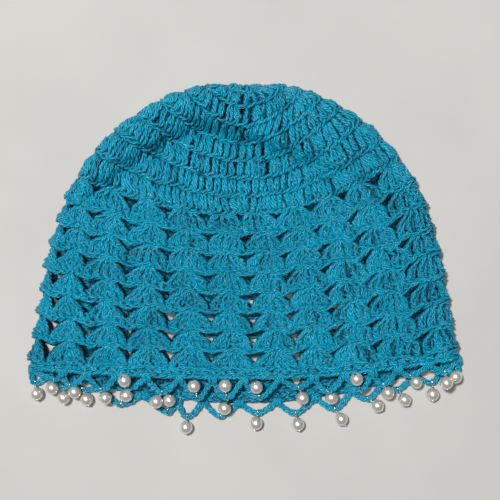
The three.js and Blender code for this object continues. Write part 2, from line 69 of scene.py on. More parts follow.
@dataclass(frozen=True)
class HatLay:
    """Middle surface of the cloth of the flattened hat, by round and by share of the way round.

    A round runs from 0 at the crown's centre to 17 at the hem. A share runs from 0 at the left fold,
    over the front layer, to 0.5 at the right fold and back along the back layer to 1.
    """

    fabric: float = 0.0030
    fold_radius: float = 0.0100
    fold_height: float = 0.0046
    layer_height: float = 0.0135
    hem_dip: float = 0.0019
    hem_dip_range: tuple[float, float] = (0.0, 0.0620)
    back_drop: float = 0.0150
    back_drop_reach: float = 0.1150
    crown_top: float = 0.1046
    dome_half_width: float = 0.1167
    dome_base: float = -0.0124
    dome_rise: float = 0.1190
    dome_power: float = 2.06
    flare_width: float = 0.0142
    flare_start: float = 0.0276
    hem: float = -0.0668
    flare_power: float = 1.5
    outline_end: float = -0.0960
    outline_points: int = 91
    outline_crowding: float = 1.6
    rim_rise: float = 0.0056
    rim_apex: tuple[float, float] = (-0.0240, 0.0828)
    rim_half_span: tuple[float, float] = (0.0550, 0.0860)
    rim_drop: float = 0.0300
    rim_power: tuple[float, float] = (1.6, 1.1)
    rim_slope: float = 0.0042
    rim_fade: tuple[float, float] = (0.0280, 0.0560)
    rim_right: tuple[float, float] = (0.0160, 0.0660)
    rim_right_share: float = 0.45
    crease_depth: float = 0.0040
    crease_inset: float = 0.0070
    crease_width: float = 0.0052
    pocket_share: float = 0.35
    pocket_reach: float = 0.0240
    rounds: tuple[tuple[float, float, float, float], ...] = (
        (0, 0.0, 0.0, 0.0),
        (1, 0.0126, 0.0129, 0.0064),
        (2, 0.0252, 0.0258, 0.0148),
        (3, 0.0372, 0.0356, 0.0266),
        (4, 0.0534, 0.0480, 0.0364),
        (5, 0.0702, 0.0618, 0.0470),
        (6, 0.0864, 0.0768, 0.0578),
        (7, 0.1038, 0.0930, 0.0686),
        (8, 0.1224, 0.1092, 0.0788),
        (16, 0.2372, 0.2306, 0.1724),
        (17, 0.2416, 0.2350, 0.1769),
        (18, 0.2460, 0.2394, 0.1814),
    )

    def half_width(self, y: Points) -> Points:
        """Half of the outline's width at a place along the hat.

        Args:
            y: Places along the hat, with the crown towards +Y.

        Returns:
            The half widths.
        """
        t = np.clip((y - self.dome_base) / self.dome_rise, 0.0, 1.0)
        dome = self.dome_half_width * (1.0 - t**self.dome_power) ** (1.0 / self.dome_power)
        flare = np.clip((self.flare_start - y) / (self.flare_start - self.hem), 0.0, 1.0)
        return dome + self.flare_width * flare**self.flare_power

    def outline(self) -> Points:
        """The right half of the outline, from the crown's centre down past the hem.

        Returns:
            Plan points, one a row, closer together at the crown.
        """
        steps = np.linspace(0.0, 1.0, self.outline_points) ** self.outline_crowding
        y = self.crown_top - (self.crown_top - self.outline_end) * steps
        wall = np.stack([self.half_width(np.maximum(y, self.hem)), y], axis=1)
        half_top = wall[0, 0]
        top = np.array([[0.0, self.crown_top], [half_top / 2, self.crown_top]])
        return np.concatenate([top, wall])

    def upper_height(self, x: Points, y: Points) -> Points:
        """Height of the front layer's outer skin, away from the folds.

        Args:
            x: Places across the hat.
            y: Places along the hat.

        Returns:
            Heights with the crown's rim, the crease inside it and the dip towards the hem.
        """
        span = np.where(x < self.rim_apex[0], self.rim_half_span[0], self.rim_half_span[1])
        power = np.where(x < self.rim_apex[0], self.rim_power[0], self.rim_power[1])
        reach = np.abs(x - self.rim_apex[0]) / span
        arch = self.rim_apex[1] - self.rim_drop * reach**power
        steep = self.rim_drop * power * reach ** (power - 1) / span
        outside = (y - arch) / np.hypot(1.0, steep)
        right = smoothstep(self.rim_right[0], self.rim_right[1], x)
        fade = smoothstep(self.rim_fade[0], self.rim_fade[1], y)
        fade = fade * (1.0 + (self.rim_right_share - 1.0) * right)
        crease = self.crease_depth * np.exp(-(((outside + self.crease_inset) / self.crease_width) ** 2))
        pocket = np.exp(-(((x - self.rim_apex[0]) / self.pocket_reach) ** 2))
        crease = crease * (1.0 + self.pocket_share * pocket)
        step = self.rim_rise * smoothstep(-self.rim_slope, self.rim_slope, outside)
        dip = self.hem_dip * smoothstep(self.hem_dip_range[0], self.hem_dip_range[1], -y)
        return self.layer_height - dip + fade * (step - crease)


def smoothstep(low: float, high: float, value: Points) -> Points:
    """Smooth ramp from 0 at low to 1 at high."""
    t = np.clip((value - low) / (high - low), 0.0, 1.0)
    return t * t * (3.0 - 2.0 * t)


def unit(vectors: Points) -> Points:
    """Vectors of length one along the last axis."""
    length = np.linalg.norm(vectors, axis=-1, keepdims=True)
    return vectors / np.maximum(length, 1e-12)


@dataclass(frozen=True)
class ClothDrift:
    """How far the stitches of hand-made cloth stray from an even lay."""

    seed: int = 5
    count: int = 18
    rounds: float = 0.16
    sideways: float = 0.0028
    height: float = 0.0012
    most_round: int = 26
    most_down: float = 0.55
    least_round: float = 0.02
    back_share: float = 0.3

    def waves(self) -> list[tuple[Points, Points, Points]]:
        """Draws the waves of the rounds, of the sideways drift and of the height.

        Returns:
            For each of the three, the waves' cycles round the hat, cycles down it and phases.
        """
        random = np.random.default_rng(self.seed)
        made = []
        for _ in range(3):
            around = random.integers(2, self.most_round, self.count).astype(float)
            down = random.uniform(-self.most_down, self.most_down, self.count)
            made.append((around, down, random.uniform(0.0, 2 * pi, self.count)))
        return made


class LaySurface:
    """Places yarn on the lay: a point of a round, at a share of the way round, at a height."""

    VALUE_STEP = 0.1
    SHARE_STEPS = 400
    LENGTH_SAMPLES = 160
    LAST_VALUE = 17.8
    POINTS_AT_ONCE = 20000
    NORMAL_ROUNDS = 0.12
    NORMAL_ACROSS = 0.0015
    NORMAL_MOST_SHARE = 0.03

    def __init__(self, lay: HatLay, drift: ClothDrift) -> None:
        """Works out how each round's length is spread between the folds.

        Args:
            lay: The sizes of the flattened hat.
            drift: The unevenness of the cloth.
        """
        self.lay = lay
        self.drift = drift
        self.waves = drift.waves()
        self.edge = lay.outline()
        steps = np.linalg.norm(np.diff(self.edge, axis=0), axis=1)
        self.edge_lengths = np.concatenate([[0.0], np.cumsum(steps)])
        self.table = np.array(lay.rounds)
        self.values = np.arange(self.VALUE_STEP / 2, self.LAST_VALUE, self.VALUE_STEP)
        self._spread()

    def edge_point(self, reach: Points, side: float, inset: float) -> tuple[Points, Points]:
        """Plan points of the outline at lengths from the crown's centre.

        Args:
            reach: Lengths along the outline.
            side: -1 for the left half and 1 for the right one.
            inset: How far the points are set in from the outline.

        Returns:
            x and y of the points.
        """
        i = np.clip(np.searchsorted(self.edge_lengths, reach), 1, len(self.edge) - 1)
        a = self.edge[i - 1]
        b = self.edge[i]
        span = self.edge_lengths[i] - self.edge_lengths[i - 1]
        t = (reach - self.edge_lengths[i - 1]) / span
        x = a[:, 0] + (b[:, 0] - a[:, 0]) * t + (b[:, 1] - a[:, 1]) / span * inset
        y = a[:, 1] + (b[:, 1] - a[:, 1]) * t - (b[:, 0] - a[:, 0]) / span * inset
        return side * x, y

    def fold_point(self, value: float, side: float) -> tuple[Points, Points]:
        """Where the middle of the cloth of a round comes to a fold.

        Args:
            value: The round.
            side: -1 for the left fold and 1 for the right one.

        Returns:
            x and y, each an array of one.
        """
        column = 1 if side < 0 else 2
        reach = np.interp(value, self.table[:, 0], self.table[:, column])
        return self.edge_point(np.array([reach]), side, self.lay.fabric / 2)

    def _edge_distance(self, x: Points, y: Points) -> Points:
        """Distance of plan points from the outline.

        Args:
            x: Places across the hat.
            y: Places along the hat.

        Returns:
            The distances.
        """
        a = self.edge[:-1]
        d = self.edge[1:] - a
        square = (d**2).sum(axis=1)
        nearest = np.empty(len(x))
        for first in range(0, len(x), self.POINTS_AT_ONCE):
            part = slice(first, first + self.POINTS_AT_ONCE)
            px = np.abs(x[part])[:, None] - a[None, :, 0]
            py = y[part][:, None] - a[None, :, 1]
            t = np.clip((px * d[:, 0] + py * d[:, 1]) / square, 0.0, 1.0)
            nearest[part] = np.hypot(px - t * d[:, 0], py - t * d[:, 1]).min(axis=1)
        return nearest

    def round_point(self, value: Points, along: Points, front: Points, depth: float) -> Points:
        """Points of rounds, between the folds.

        Args:
            value: The rounds.
            along: Ways across, from 0 at the left fold to 1 at the right one.
            front: Whether each point is on the front layer.
            depth: How deep the points lie under the cloth's outer skin.

        Returns:
            The points, one a row.
        """
        left = np.interp(value, self.table[:, 0], self.table[:, 1])
        right = np.interp(value, self.table[:, 0], self.table[:, 2])
        drop = np.interp(value, self.table[:, 0], self.table[:, 3])
        left_x, left_y = self.edge_point(left, -1.0, depth)
        right_x, right_y = self.edge_point(right, 1.0, depth)
        x = left_x + (right_x - left_x) * along
        end_x = np.where(x < 0, left_x, right_x)
        end_y = np.where(x < 0, left_y, right_y)
        lower = self.lay.back_drop * smoothstep(0.0, self.lay.back_drop_reach, drop)
        drop = drop + np.where(front, 0.0, lower)
        middle = self.lay.crown_top - np.maximum(depth, drop)
        y = middle + (end_y - middle) * (x / np.where(end_x == 0, 1.0, end_x)) ** 2
        turn = (self._edge_distance(x, y) - depth) / (self.lay.fold_radius - depth)
        rise = np.sqrt(1.0 - (1.0 - np.clip(turn, 0.0, 1.0)) ** 2)
        skin = np.where(front, self.lay.upper_height(x, y) - depth, depth)
        z = self.lay.fold_height + (skin - self.lay.fold_height) * rise
        return np.stack([x, y, z], axis=-1)

    def _spread(self) -> None:
        """Fills the table of along by round, layer and share, and the length of each layer."""
        samples = 0.5 - 0.5 * np.cos(pi * np.linspace(0.0, 1.0, self.LENGTH_SAMPLES + 1))
        shares = np.linspace(0.0, 1.0, self.SHARE_STEPS + 1)
        self.along = np.empty((len(self.values), 2, len(shares)))
        self.length = np.empty((len(self.values), 2))
        value = np.repeat(self.values, len(samples))
        along = np.tile(samples, len(self.values))
        for layer in range(2):
            front = np.full(len(value), layer == 0)
            points = self.round_point(value, along, front, self.lay.fabric / 2)
            points = points.reshape(len(self.values), len(samples), 3)
            steps = np.linalg.norm(np.diff(points, axis=1), axis=2)
            sums = np.concatenate([np.zeros((len(steps), 1)), np.cumsum(steps, axis=1)], axis=1)
            self.length[:, layer] = sums[:, -1]
            for i, row in enumerate(sums):
                self.along[i, layer] = np.interp(shares * row[-1], row, samples)

    def share_per_metre(self, value: Points, share: Points) -> Points:
        """How much of a share one metre along the round is.

        Args:
            value: The rounds.
            share: The shares, which say what layer each point is on.

        Returns:
            Shares a metre.
        """
        front = np.interp(value, self.values, self.length[:, 0])
        back = np.interp(value, self.values, self.length[:, 1])
        return 0.5 / np.where(np.mod(share, 1.0) < FOLD_SHARE, front, back)

    def middle(self, value: Points, share: Points) -> Points:
        """Points of the cloth's middle surface.

        Args:
            value: The rounds, as a flat array.
            share: Their shares of the way round.

        Returns:
            The points, one a row.
        """
        wrapped = np.mod(share, 1.0)
        front = wrapped < FOLD_SHARE
        fraction = np.where(front, wrapped, 1.0 - wrapped) * 2.0
        i = (np.clip(value, self.values[0], self.values[-1] - 1e-6) - self.values[0]) / self.VALUE_STEP
        j = np.clip(fraction, 0.0, 1.0 - 1e-9) * self.SHARE_STEPS
        i0 = np.minimum(i.astype(int), len(self.values) - 2)
        j0 = j.astype(int)
        ti = i - i0
        tj = j - j0
        layer = np.where(front, 0, 1)
        low = self.along[i0, layer, j0] * (1 - tj) + self.along[i0, layer, j0 + 1] * tj
        high = self.along[i0 + 1, layer, j0] * (1 - tj) + self.along[i0 + 1, layer, j0 + 1] * tj
        along = low * (1 - ti) + high * ti
        return self.round_point(value, along, front, self.lay.fabric / 2)

    def _drift(self, value: Points, share: Points) -> tuple[Points, Points, Points]:
        """The slow unevenness of hand-made cloth.

        Args:
            value: The rounds, as a flat array.
            share: Their shares of the way round.

        Returns:
            Rounds and shares moved a little, and the height to add.
        """
        rounds, sideways, lift = (
            (np.cos(2 * pi * (share[:, None] * waves[0] + value[:, None] * waves[1]) + waves[2])).mean(axis=1)
            for waves in self.waves
        )
        v = np.maximum(value + rounds * self.drift.rounds, self.drift.least_round)
        s = share + sideways * self.drift.sideways * self.share_per_metre(value, share)
        layer = np.where(np.mod(share, 1.0) < FOLD_SHARE, 1.0, self.drift.back_share)
        bulge = lift * self.drift.height * layer
        return v, s, bulge

    def place(self, value: Points, share: Points, height: Points) -> tuple[Points, Points]:
        """Points over the cloth's middle surface and the outward normals there.

        Args:
            value: Rounds, in any shape.
            share: Shares of the way round, in the same shape.
            height: Heights over the middle surface, in metres.

        Returns:
            Points and normals, with one more axis of three.
        """
        shape = value.shape
        v, s, lift = self._drift(value.ravel(), share.ravel())
        step = np.minimum(self.NORMAL_ACROSS * self.share_per_metre(v, s), self.NORMAL_MOST_SHARE)
        above = np.maximum(v - self.NORMAL_ROUNDS, self.VALUE_STEP / 2)
        down = self.middle(v + self.NORMAL_ROUNDS, s) - self.middle(above, s)
        across = self.middle(v, s + step) - self.middle(v, s - step)
        normal = unit(np.cross(down, across))
        points = self.middle(v, s) + normal * (height.ravel() + lift)[:, None]
        return points.reshape(*shape, 3), normal.reshape(*shape, 3)


# Yarn


def smooth_path(knots: Points, steps: int, closed: bool = False) -> Points:
    """Catmull-Rom curve through knots.

    Args:
        knots: Points, one a row.
        steps: Pieces between two knots.
        closed: Whether the last knot runs on into the first.

    Returns:
        Points of the curve; an open curve ends on its last knot.
    """
    if closed:
        padded = np.concatenate([knots[-1:], knots, knots[:2]])
    else:
        padded = np.concatenate([2 * knots[:1] - knots[1:2], knots, 2 * knots[-1:] - knots[-2:-1]])
    p0, p1, p2, p3 = padded[:-3], padded[1:-2], padded[2:-1], padded[3:]
    curve = []
    for t in np.arange(steps) / steps:
        blend = (2 * p1) + (p2 - p0) * t + (2 * p0 - 5 * p1 + 4 * p2 - p3) * t**2
        curve.append(0.5 * (blend + (3 * p1 - p0 - 3 * p2 + p3) * t**3))
    points = np.stack(curve, axis=1).reshape(-1, knots.shape[1])
    return points if closed else np.concatenate([points, knots[-1:]])


class YarnBundle:
    """Collects yarn tubes and joins them in one mesh, with a UV map that runs along the yarn."""

    # Painted light: how much lighter each tube's upper side, and how much darker its underside, is painted.
    PAINTED_TOP_LIGHT = 0.30
    GROUND = 0.0003

    def __init__(self) -> None:
        """Starts with no yarn."""
        self.vertices: list[Points] = []
        self.corners: list[Points] = []
        self.sizes: list[Points] = []
        self.coordinates: list[Points] = []
        self.tones: list[Points] = []
        self.count = 0

    def add(self, centres: Points, normals: Points, radius: Points | float, sides: int,
            tone: Points | float = 0.5, closed: bool = False, flat: float = 1.0) -> None:
        """Adds a tube along each path.

        Args:
            centres: Points of the paths, as (paths, points, 3).
            normals: Directions that stand across the yarn, in the same shape.
            radius: Yarn radius, one for all or as (paths, points).
            sides: Corners of the yarn's cross-section.
            tone: Tone of the yarn from 0 to 1, one for all, one a path, or as (paths, points), which may
                already hold painted shade; each tube's upper side is painted lighter and its underside darker
                on top of it.
            closed: Whether each path runs on into its start.
            flat: Thickness of the yarn across its width.
        """
        paths, points, _ = centres.shape
        if closed:
            tangent = unit(np.roll(centres, -1, axis=1) - np.roll(centres, 1, axis=1))
        else:
            tangent = unit(np.gradient(centres, axis=1))
        side = unit(np.cross(normals, tangent))
        up = np.cross(tangent, side) * flat
        angle = 2 * pi * np.arange(sides) / sides
        size = np.broadcast_to(np.asarray(radius, float), (paths, points))[:, :, None, None]
        ring = np.cos(angle)[:, None] * side[:, :, None] + np.sin(angle)[:, None] * up[:, :, None]
        vertices = (centres[:, :, None] + size * ring).reshape(-1, 3)
        rows = points if closed else points - 1
        row = np.arange(rows)
        corner = np.arange(sides)
        here = (row[:, None] * sides + corner[None]).ravel()
        beside = (row[:, None] * sides + (corner[None] + 1) % sides).ravel()
        below = (((row[:, None] + 1) % points) * sides + corner[None]).ravel()
        across = (((row[:, None] + 1) % points) * sides + (corner[None] + 1) % sides).ravel()
        quads = np.stack([here, beside, across, below], axis=1)
        first = self.count + np.arange(paths) * points * sides
        self.corners.append((quads[None] + first[:, None, None]).ravel())
        self.sizes.append(np.full(paths * len(quads), 4))
        self._add_quad_uv(centres, row, corner, sides, closed)
        if not closed:
            for cap in (corner[::-1], corner + (points - 1) * sides):
                self.corners.append((cap[None] + first[:, None]).ravel())
                self.sizes.append(np.full(paths, sides))
                self.coordinates.append(np.zeros((paths * sides, 2)))
        tone = np.asarray(tone, float)
        tone = tone[:, :, None] if tone.ndim == 2 else tone.reshape(-1, 1, 1)
        # Painted light and shade: the tone rises towards each tube's upper side and falls towards its
        # underside.
        shade = np.broadcast_to(tone + self.PAINTED_TOP_LIGHT * np.sin(angle), (paths, points, sides))
        self.tones.append(np.clip(shade, 0.0, 1.0).ravel())
        self.vertices.append(vertices)
        self.count += len(vertices)

    def _add_quad_uv(self, centres: Points, row: Points, corner: Points, sides: int, closed: bool) -> None:
        """Adds the UV of the tubes' quads: round the yarn, and along it in centimetres.

        Args:
            centres: Points of the paths, as (paths, points, 3).
            row: Numbers of the rows of quads.
            corner: Numbers of the cross-section's corners.
            sides: How many corners there are.
            closed: Whether each path runs on into its start.
        """
        ends = np.roll(centres, -1, axis=1) if closed else centres[:, 1:]
        starts = centres if closed else centres[:, :-1]
        steps = np.linalg.norm(ends - starts, axis=2)
        along = np.concatenate([np.zeros((len(steps), 1)), np.cumsum(steps, axis=1)], axis=1) * 100
        u0 = np.broadcast_to(corner / sides, (len(centres), len(row), sides))
        u1 = u0 + 1.0 / sides
        v0 = np.broadcast_to(along[:, :-1, None], u0.shape)
        v1 = np.broadcast_to(along[:, 1:, None], u0.shape)
        quads = np.stack([np.stack([u0, v0], -1), np.stack([u1, v0], -1),
                          np.stack([u1, v1], -1), np.stack([u0, v1], -1)], axis=3)
        self.coordinates.append(quads.reshape(-1, 2))

    def build(self, name: str) -> bpy.types.Object:
        """Makes the mesh object, its yarn pressed flat where it would go into the floor.

        Args:
            name: Name of the piece.

        Returns:
            The new object, at the origin.
        """
        vertices = np.concatenate(self.vertices)
        vertices[:, 2] = np.maximum(vertices[:, 2], self.GROUND)
        corners = np.concatenate(self.corners)
        sizes = np.concatenate(self.sizes)
        mesh = bpy.data.meshes.new(name)
        mesh.vertices.add(len(vertices))
        mesh.vertices.foreach_set("co", vertices.astype(np.float32).ravel())
        mesh.loops.add(len(corners))
        mesh.loops.foreach_set("vertex_index", corners.astype(np.int32))
        mesh.polygons.add(len(sizes))
        starts = np.concatenate([[0], np.cumsum(sizes)[:-1]])
        mesh.polygons.foreach_set("loop_start", starts.astype(np.int32))
        mesh.update(calc_edges=True)
        layer = mesh.uv_layers.new(name="yarn_uv")
        layer.data.foreach_set("uv", np.concatenate(self.coordinates).astype(np.float32).ravel())
        # Each vertex's tone: the stitch's own random tone, with painted shade in low places and on cores, and
        # painted light on raised strands and on the tubes' upper sides.
        tone = mesh.attributes.new("stitch_tone_and_painted_shade", "FLOAT", "POINT")
        tone.data.foreach_set("value", np.concatenate(self.tones).astype(np.float32))
        mesh.polygons.foreach_set("use_smooth", np.ones(len(sizes), bool))
        mesh.validate()
        piece = bpy.data.objects.new(name, mesh)
        bpy.context.scene.collection.objects.link(piece)
        return piece


# Stitches


@dataclass(frozen=True)
class StitchStrand:
    """One strand of a stitch, drawn from given knots.

    Each knot is the share of the way to the next post, the shift across in metres, the way down the
    row from 0 to 1, and the height over the cloth in metres.
    """

    knots: tuple[tuple[float, float, float, float], ...]
    radius: float
    steps: int = 2
    sides: int = 6
    flat: float = 1.0
    # tone is added to every stitch's tone: cores and fill strands get a negative one as painted shade,
    # eyebrow strands a positive one as painted light.
    tone: float = 0.0

    def paths(self, spread: Points) -> Points:
        """Smooth paths through the knots, each knot moved a little for each stitch.

        Args:
            spread: Moves of the knots, as (stitches, knots, 4).

        Returns:
            Paths as (4, stitches, points).
        """
        knots = np.array(self.knots)[None] + spread
        flat = np.moveaxis(knots, 1, 0).reshape(len(self.knots), -1)
        return np.moveaxis(smooth_path(flat, self.steps).reshape(-1, len(spread), 4), (2, 1, 0), (0, 1, 2))


@dataclass
class PostRow:
    """A row of posts: where each one starts and ends, and how it gets there."""

    base: Points
    top: Points
    start: float
    height: float = 1.0
    sag: Points | float = 0.0
    bulge: float = 2.0
    spread_end: Points | float = 1.0
    base_width: float = 0.8
    lift: float = 0.0
    left_lift: float = 0.0
    right_lift: float = 0.0
    lift_reach: float = 0.022
    lift_range: tuple[float, float] = (0.1, 1.0)

    def shares(self, index: Points, down: Points) -> Points:
        """Shares of the posts' middle lines.

        Args:
            index: Numbers of the posts.
            down: Ways down the row, as (posts, points).

        Returns:
            The shares, in the shape of down.
        """
        end = np.broadcast_to(self.spread_end, self.top.shape)[index][:, None]
        way = 1.0 - (1.0 - np.clip(down / end, 0.0, 1.0)) ** self.bulge
        return self.base[index][:, None] + (self.top - self.base)[index][:, None] * way

    def values(self, index: Points, down: Points) -> Points:
        """Rounds of the posts.

        Args:
            index: Numbers of the posts.
            down: Ways down the row, as (posts, points).

        Returns:
            The rounds, in the shape of down.
        """
        sag = np.broadcast_to(self.sag, self.top.shape)[index][:, None]
        return self.start + self.height * down * (1.0 + sag * np.clip(down, 0.0, 1.0))

    def heights(self, share: Points, down: Points) -> Points:
        """How far the row stands out of the cloth towards its lower edge, most at the folds.

        Args:
            share: Shares of the way round.
            down: Ways down the row, in the same shape.

        Returns:
            Heights over the cloth.
        """
        left = np.abs(share - np.round(share)) / self.lift_reach
        right = np.abs(np.mod(share, 1.0) - FOLD_SHARE) / self.lift_reach
        edge = self.lift + self.left_lift * np.exp(-(left**2)) + self.right_lift * np.exp(-(right**2))
        return edge * smoothstep(*self.lift_range, down)


@dataclass
class StitchSetter:
    """Sets many strands of one kind on the lay, each with its own small variation."""

    surface: LaySurface
    random: np.random.Generator
    back_ceiling: float = 0.0006
    turn_shares: tuple[float, float] = (0.010, 0.045)
    turn_rounds: tuple[float, float] = (1.0, 2.5)
    knot_jitter: tuple[float, float, float, float] = (0.0, 0.00036, 0.024, 0.00034)
    side_jitter: float = 0.00022
    radius_jitter: float = 0.11
    # Painted shade: strands are painted darker the lower they lie in the cloth and lighter the higher they
    # stand.
    painted_low_shade: float = 310.0
    unshaded_height: float = 0.0008
    widest_down: float = 0.6
    end_radius: float = 0.6
    tone_middle: float = 0.5
    tone_spread: float = 0.20

    def set_strand(self, bundle: YarnBundle, strand: StitchStrand, row: PostRow, here: Points,
                   there: Points, tone: Points) -> None:
        """Adds one strand for each pair of posts.

        Args:
            bundle: Where the yarn goes.
            strand: The strand's drawing.
            row: The row of posts.
            here: The post that each strand starts on.
            there: The post that it runs towards.
            tone: Shade of each post.
        """
        count = len(here)
        spread = self.random.normal(0.0, 1.0, (count, len(strand.knots), 4)) * self.knot_jitter
        toward, across, down, height = strand.paths(spread)
        start = row.shares(here, down)
        step = row.shares(there, down) - start
        step = step - np.round(step)
        value = row.values(here, down) * (1.0 - toward) + row.values(there, down) * toward
        share = start + step * toward
        narrow = row.base_width + (1.0 - row.base_width) * smoothstep(0.0, self.widest_down, down)
        across = across * narrow + self.random.normal(0.0, self.side_jitter, (count, 1))
        share = share + across * self.surface.share_per_metre(value, share)
        # Painted shade by height: the stitch's own tone and the strand's tone offset, with low strands
        # painted darker and raised ones lighter.
        shade = tone[here][:, None] + strand.tone + self.painted_low_shade * (height - self.unshaded_height)
        height = self._turned_in(height, value, share)
        height = height + row.heights(share, down)
        points, normals = self.surface.place(value, share, height)
        swell = 1.0 + self.random.normal(0.0, self.radius_jitter, (count, 1))
        radius = strand.radius * swell * (narrow if strand.flat < 1.0 else np.ones_like(value))
        radius[:, [0, -1]] *= self.end_radius
        bundle.add(points, normals, radius, strand.sides, shade, flat=strand.flat)

    def _turned_in(self, height: Points, value: Points, share: Points) -> Points:
        """Turns the back layer's stitches to its inner side, off the floor.

        Args:
            height: Heights over the cloth.
            value: Rounds, in the same shape.
            share: Shares of the way round, in the same shape.

        Returns:
            The new heights.
        """
        wrapped = np.mod(share, 1.0)
        from_fold = np.minimum(wrapped - FOLD_SHARE, 1.0 - wrapped)
        inner = smoothstep(*self.turn_shares, from_fold) * smoothstep(*self.turn_rounds, value)
        turned = np.minimum(height * (1.0 - 2.0 * inner), self.back_ceiling)
        return np.where(wrapped > FOLD_SHARE, turned, height)

    def tones(self, stitches: int) -> Points:
        """Shade of each stitch, around the middle."""
        return self.random.normal(self.tone_middle, self.tone_spread, stitches)


POST_LEFT = StitchStrand(
    knots=(
        (0.0, -0.0004, 0.03, -0.0004), (0.0, -0.0010, 0.12, 0.0006), (0.0, -0.0012, 0.34, 0.0011),
        (0.0, -0.0009, 0.58, 0.0013), (0.0, -0.0002, 0.82, 0.0002),
    ),
    radius=0.00108,
    sides=5,
)
POST_RIGHT = StitchStrand(
    knots=(
        (0.0, 0.0003, 0.03, -0.0004), (0.0, 0.0009, 0.12, 0.0006), (0.0, 0.0010, 0.34, 0.0006),
        (0.0, 0.0011, 0.58, 0.0013), (0.0, 0.0007, 0.84, 0.0004),
    ),
    radius=0.00106,
    sides=5,
)
POST_WRAP = StitchStrand(
    knots=(
        (0.0, -0.0020, 0.20, -0.0005), (0.0, -0.0010, 0.29, 0.0014),
        (0.0, 0.0007, 0.45, 0.0020), (0.0, 0.0019, 0.57, -0.0002),
    ),
    radius=0.00084,
    sides=5,
)
POST_CORE = StitchStrand(
    knots=(
        (0.0, 0.0, -0.05, -0.0008), (0.0, 0.0, 0.12, -0.0005), (0.0, 0.0, 0.42, -0.0005),
        (0.0, 0.0, 0.90, -0.0005), (0.0, 0.0, 1.05, -0.0008),
    ),
    radius=0.00300,
    steps=1,
    flat=0.28,
    # Painted shade: the flat core under the posts is painted darker, so the slits between posts read dark.
    tone=-0.12,
)
CHAIN_FRONT = StitchStrand(
    knots=(
        (-0.30, 0.0, 0.94, -0.0002), (0.0, 0.0, 0.93, 0.0007), (0.45, 0.0, 0.87, 0.0010),
        (0.85, 0.0, 0.78, 0.0006), (1.05, 0.0, 0.74, -0.0004),
    ),
    radius=0.00088,
)
CHAIN_BACK = StitchStrand(
    knots=(
        (-0.25, 0.0, 0.93, -0.0006), (0.15, 0.0, 0.96, 0.0003),
        (0.55, 0.0, 0.97, 0.0003), (1.0, 0.0, 0.93, -0.0006),
    ),
    radius=0.00074,
    sides=5,
)


@dataclass
class CrownRounds:
    """Eight rounds of double crochet from the crown's centre."""

    surface: LaySurface
    seed: int = 11
    stitches: tuple[int, ...] = (12, 25, 38, 51, 64, 77, 89, 101)
    first_base: float = 0.30
    base_pull: float = 0.20
    upright: float = 0.75
    first_turn: tuple[float, float] = (0.3, 0.7)
    stitch_jitter: float = 0.05
    left_lift: float = 0.0011
    right_lift: float = 0.0005

    def build(self) -> list[bpy.types.Object]:
        """Models one piece a round.

        Returns:
            The pieces, from the centre outwards.
        """
        setter = StitchSetter(self.surface, np.random.default_rng(self.seed))
        pieces = []
        before = np.array([])
        for i, count in enumerate(self.stitches):
            top = (np.arange(count) + setter.random.uniform(*self.first_turn)) / count
            top = top + setter.random.normal(0.0, self.stitch_jitter, count) / count
            start = self.first_base if i == 0 else float(i)
            row = PostRow(self._bases(top, before) + self._upright(top, i), top, start, i + 1.0 - start,
                          left_lift=self.left_lift, right_lift=self.right_lift)
            pieces.append(self._model_round(setter, row, f"crown_round_{i + 1}"))
            before = top
        return pieces

    def _upright(self, top: Points, number: int) -> Points:
        """How far the feet of the front layer's posts move outwards, so that the posts stand upright.

        Args:
            top: Shares of the posts' tops.
            number: The round's number, from 0.

        Returns:
            Shares to add to the feet.
        """
        if number < 2:
            return np.zeros(len(top))
        surface = self.surface
        low, high = (
            np.interp(value, surface.values, surface.length[:, 0]) for value in (number, number + 1.0)
        )
        middle = np.mod(top, 1.0) - FOLD_SHARE / 2
        inside = np.clip(1.0 - (2.0 * middle / FOLD_SHARE) ** 2, 0.0, 1.0)
        return self.upright * inside * middle * (high / low - 1.0)

    def _bases(self, top: Points, before: Points) -> Points:
        """Shares of the stitches' feet, drawn towards the stitches they are worked into.

        Args:
            top: Shares of the stitches' tops.
            before: Shares of the tops of the round before, empty for the first round.

        Returns:
            Shares of the feet.
        """
        if not len(before):
            return top
        away = before[None] - top[:, None]
        away -= np.round(away)
        nearest = away[np.arange(len(top)), np.abs(away).argmin(axis=1)]
        return top + self.base_pull * nearest

    def _model_round(self, setter: StitchSetter, row: PostRow, name: str) -> bpy.types.Object:
        """Models a round's posts and its chain edge.

        Args:
            setter: What sets the strands.
            row: The round's posts.
            name: Name of the piece.

        Returns:
            The round.
        """
        here = np.arange(len(row.top))
        there = np.roll(here, -1)
        tone = setter.tones(len(here))
        bundle = YarnBundle()
        for strand in (POST_CORE, POST_LEFT, POST_RIGHT, POST_WRAP, CHAIN_FRONT, CHAIN_BACK):
            setter.set_strand(bundle, strand, row, here, there, tone)
        return bundle.build(name)


FAN_LEGS = StitchStrand(
    knots=(
        (0.0, 0.00050, -0.06, 0.0002), (0.0, 0.00085, 0.08, 0.00080), (0.0, 0.0, 0.22, 0.00125),
        (0.0, -0.00080, 0.34, 0.00045), (0.0, 0.0, 0.45, -0.00020), (0.0, 0.00085, 0.58, 0.00060),
        (0.02, 0.00040, 0.70, 0.00100), (0.16, -0.00020, 0.82, 0.00070), (0.40, 0.0, 0.93, 0.00030),
        (0.66, 0.0, 0.97, 0.00030), (0.90, -0.00050, 0.88, 0.00030), (0.98, -0.00090, 0.72, 0.00050),
        (1.0, -0.00080, 0.58, 0.00060), (1.0, 0.0, 0.45, 0.00110), (1.0, 0.00080, 0.34, 0.00045),
        (1.0, 0.0, 0.22, 0.00010), (1.0, -0.00085, 0.08, 0.00070), (1.0, -0.00050, -0.06, 0.0001),
    ),
    radius=0.00092,
    sides=5,
)
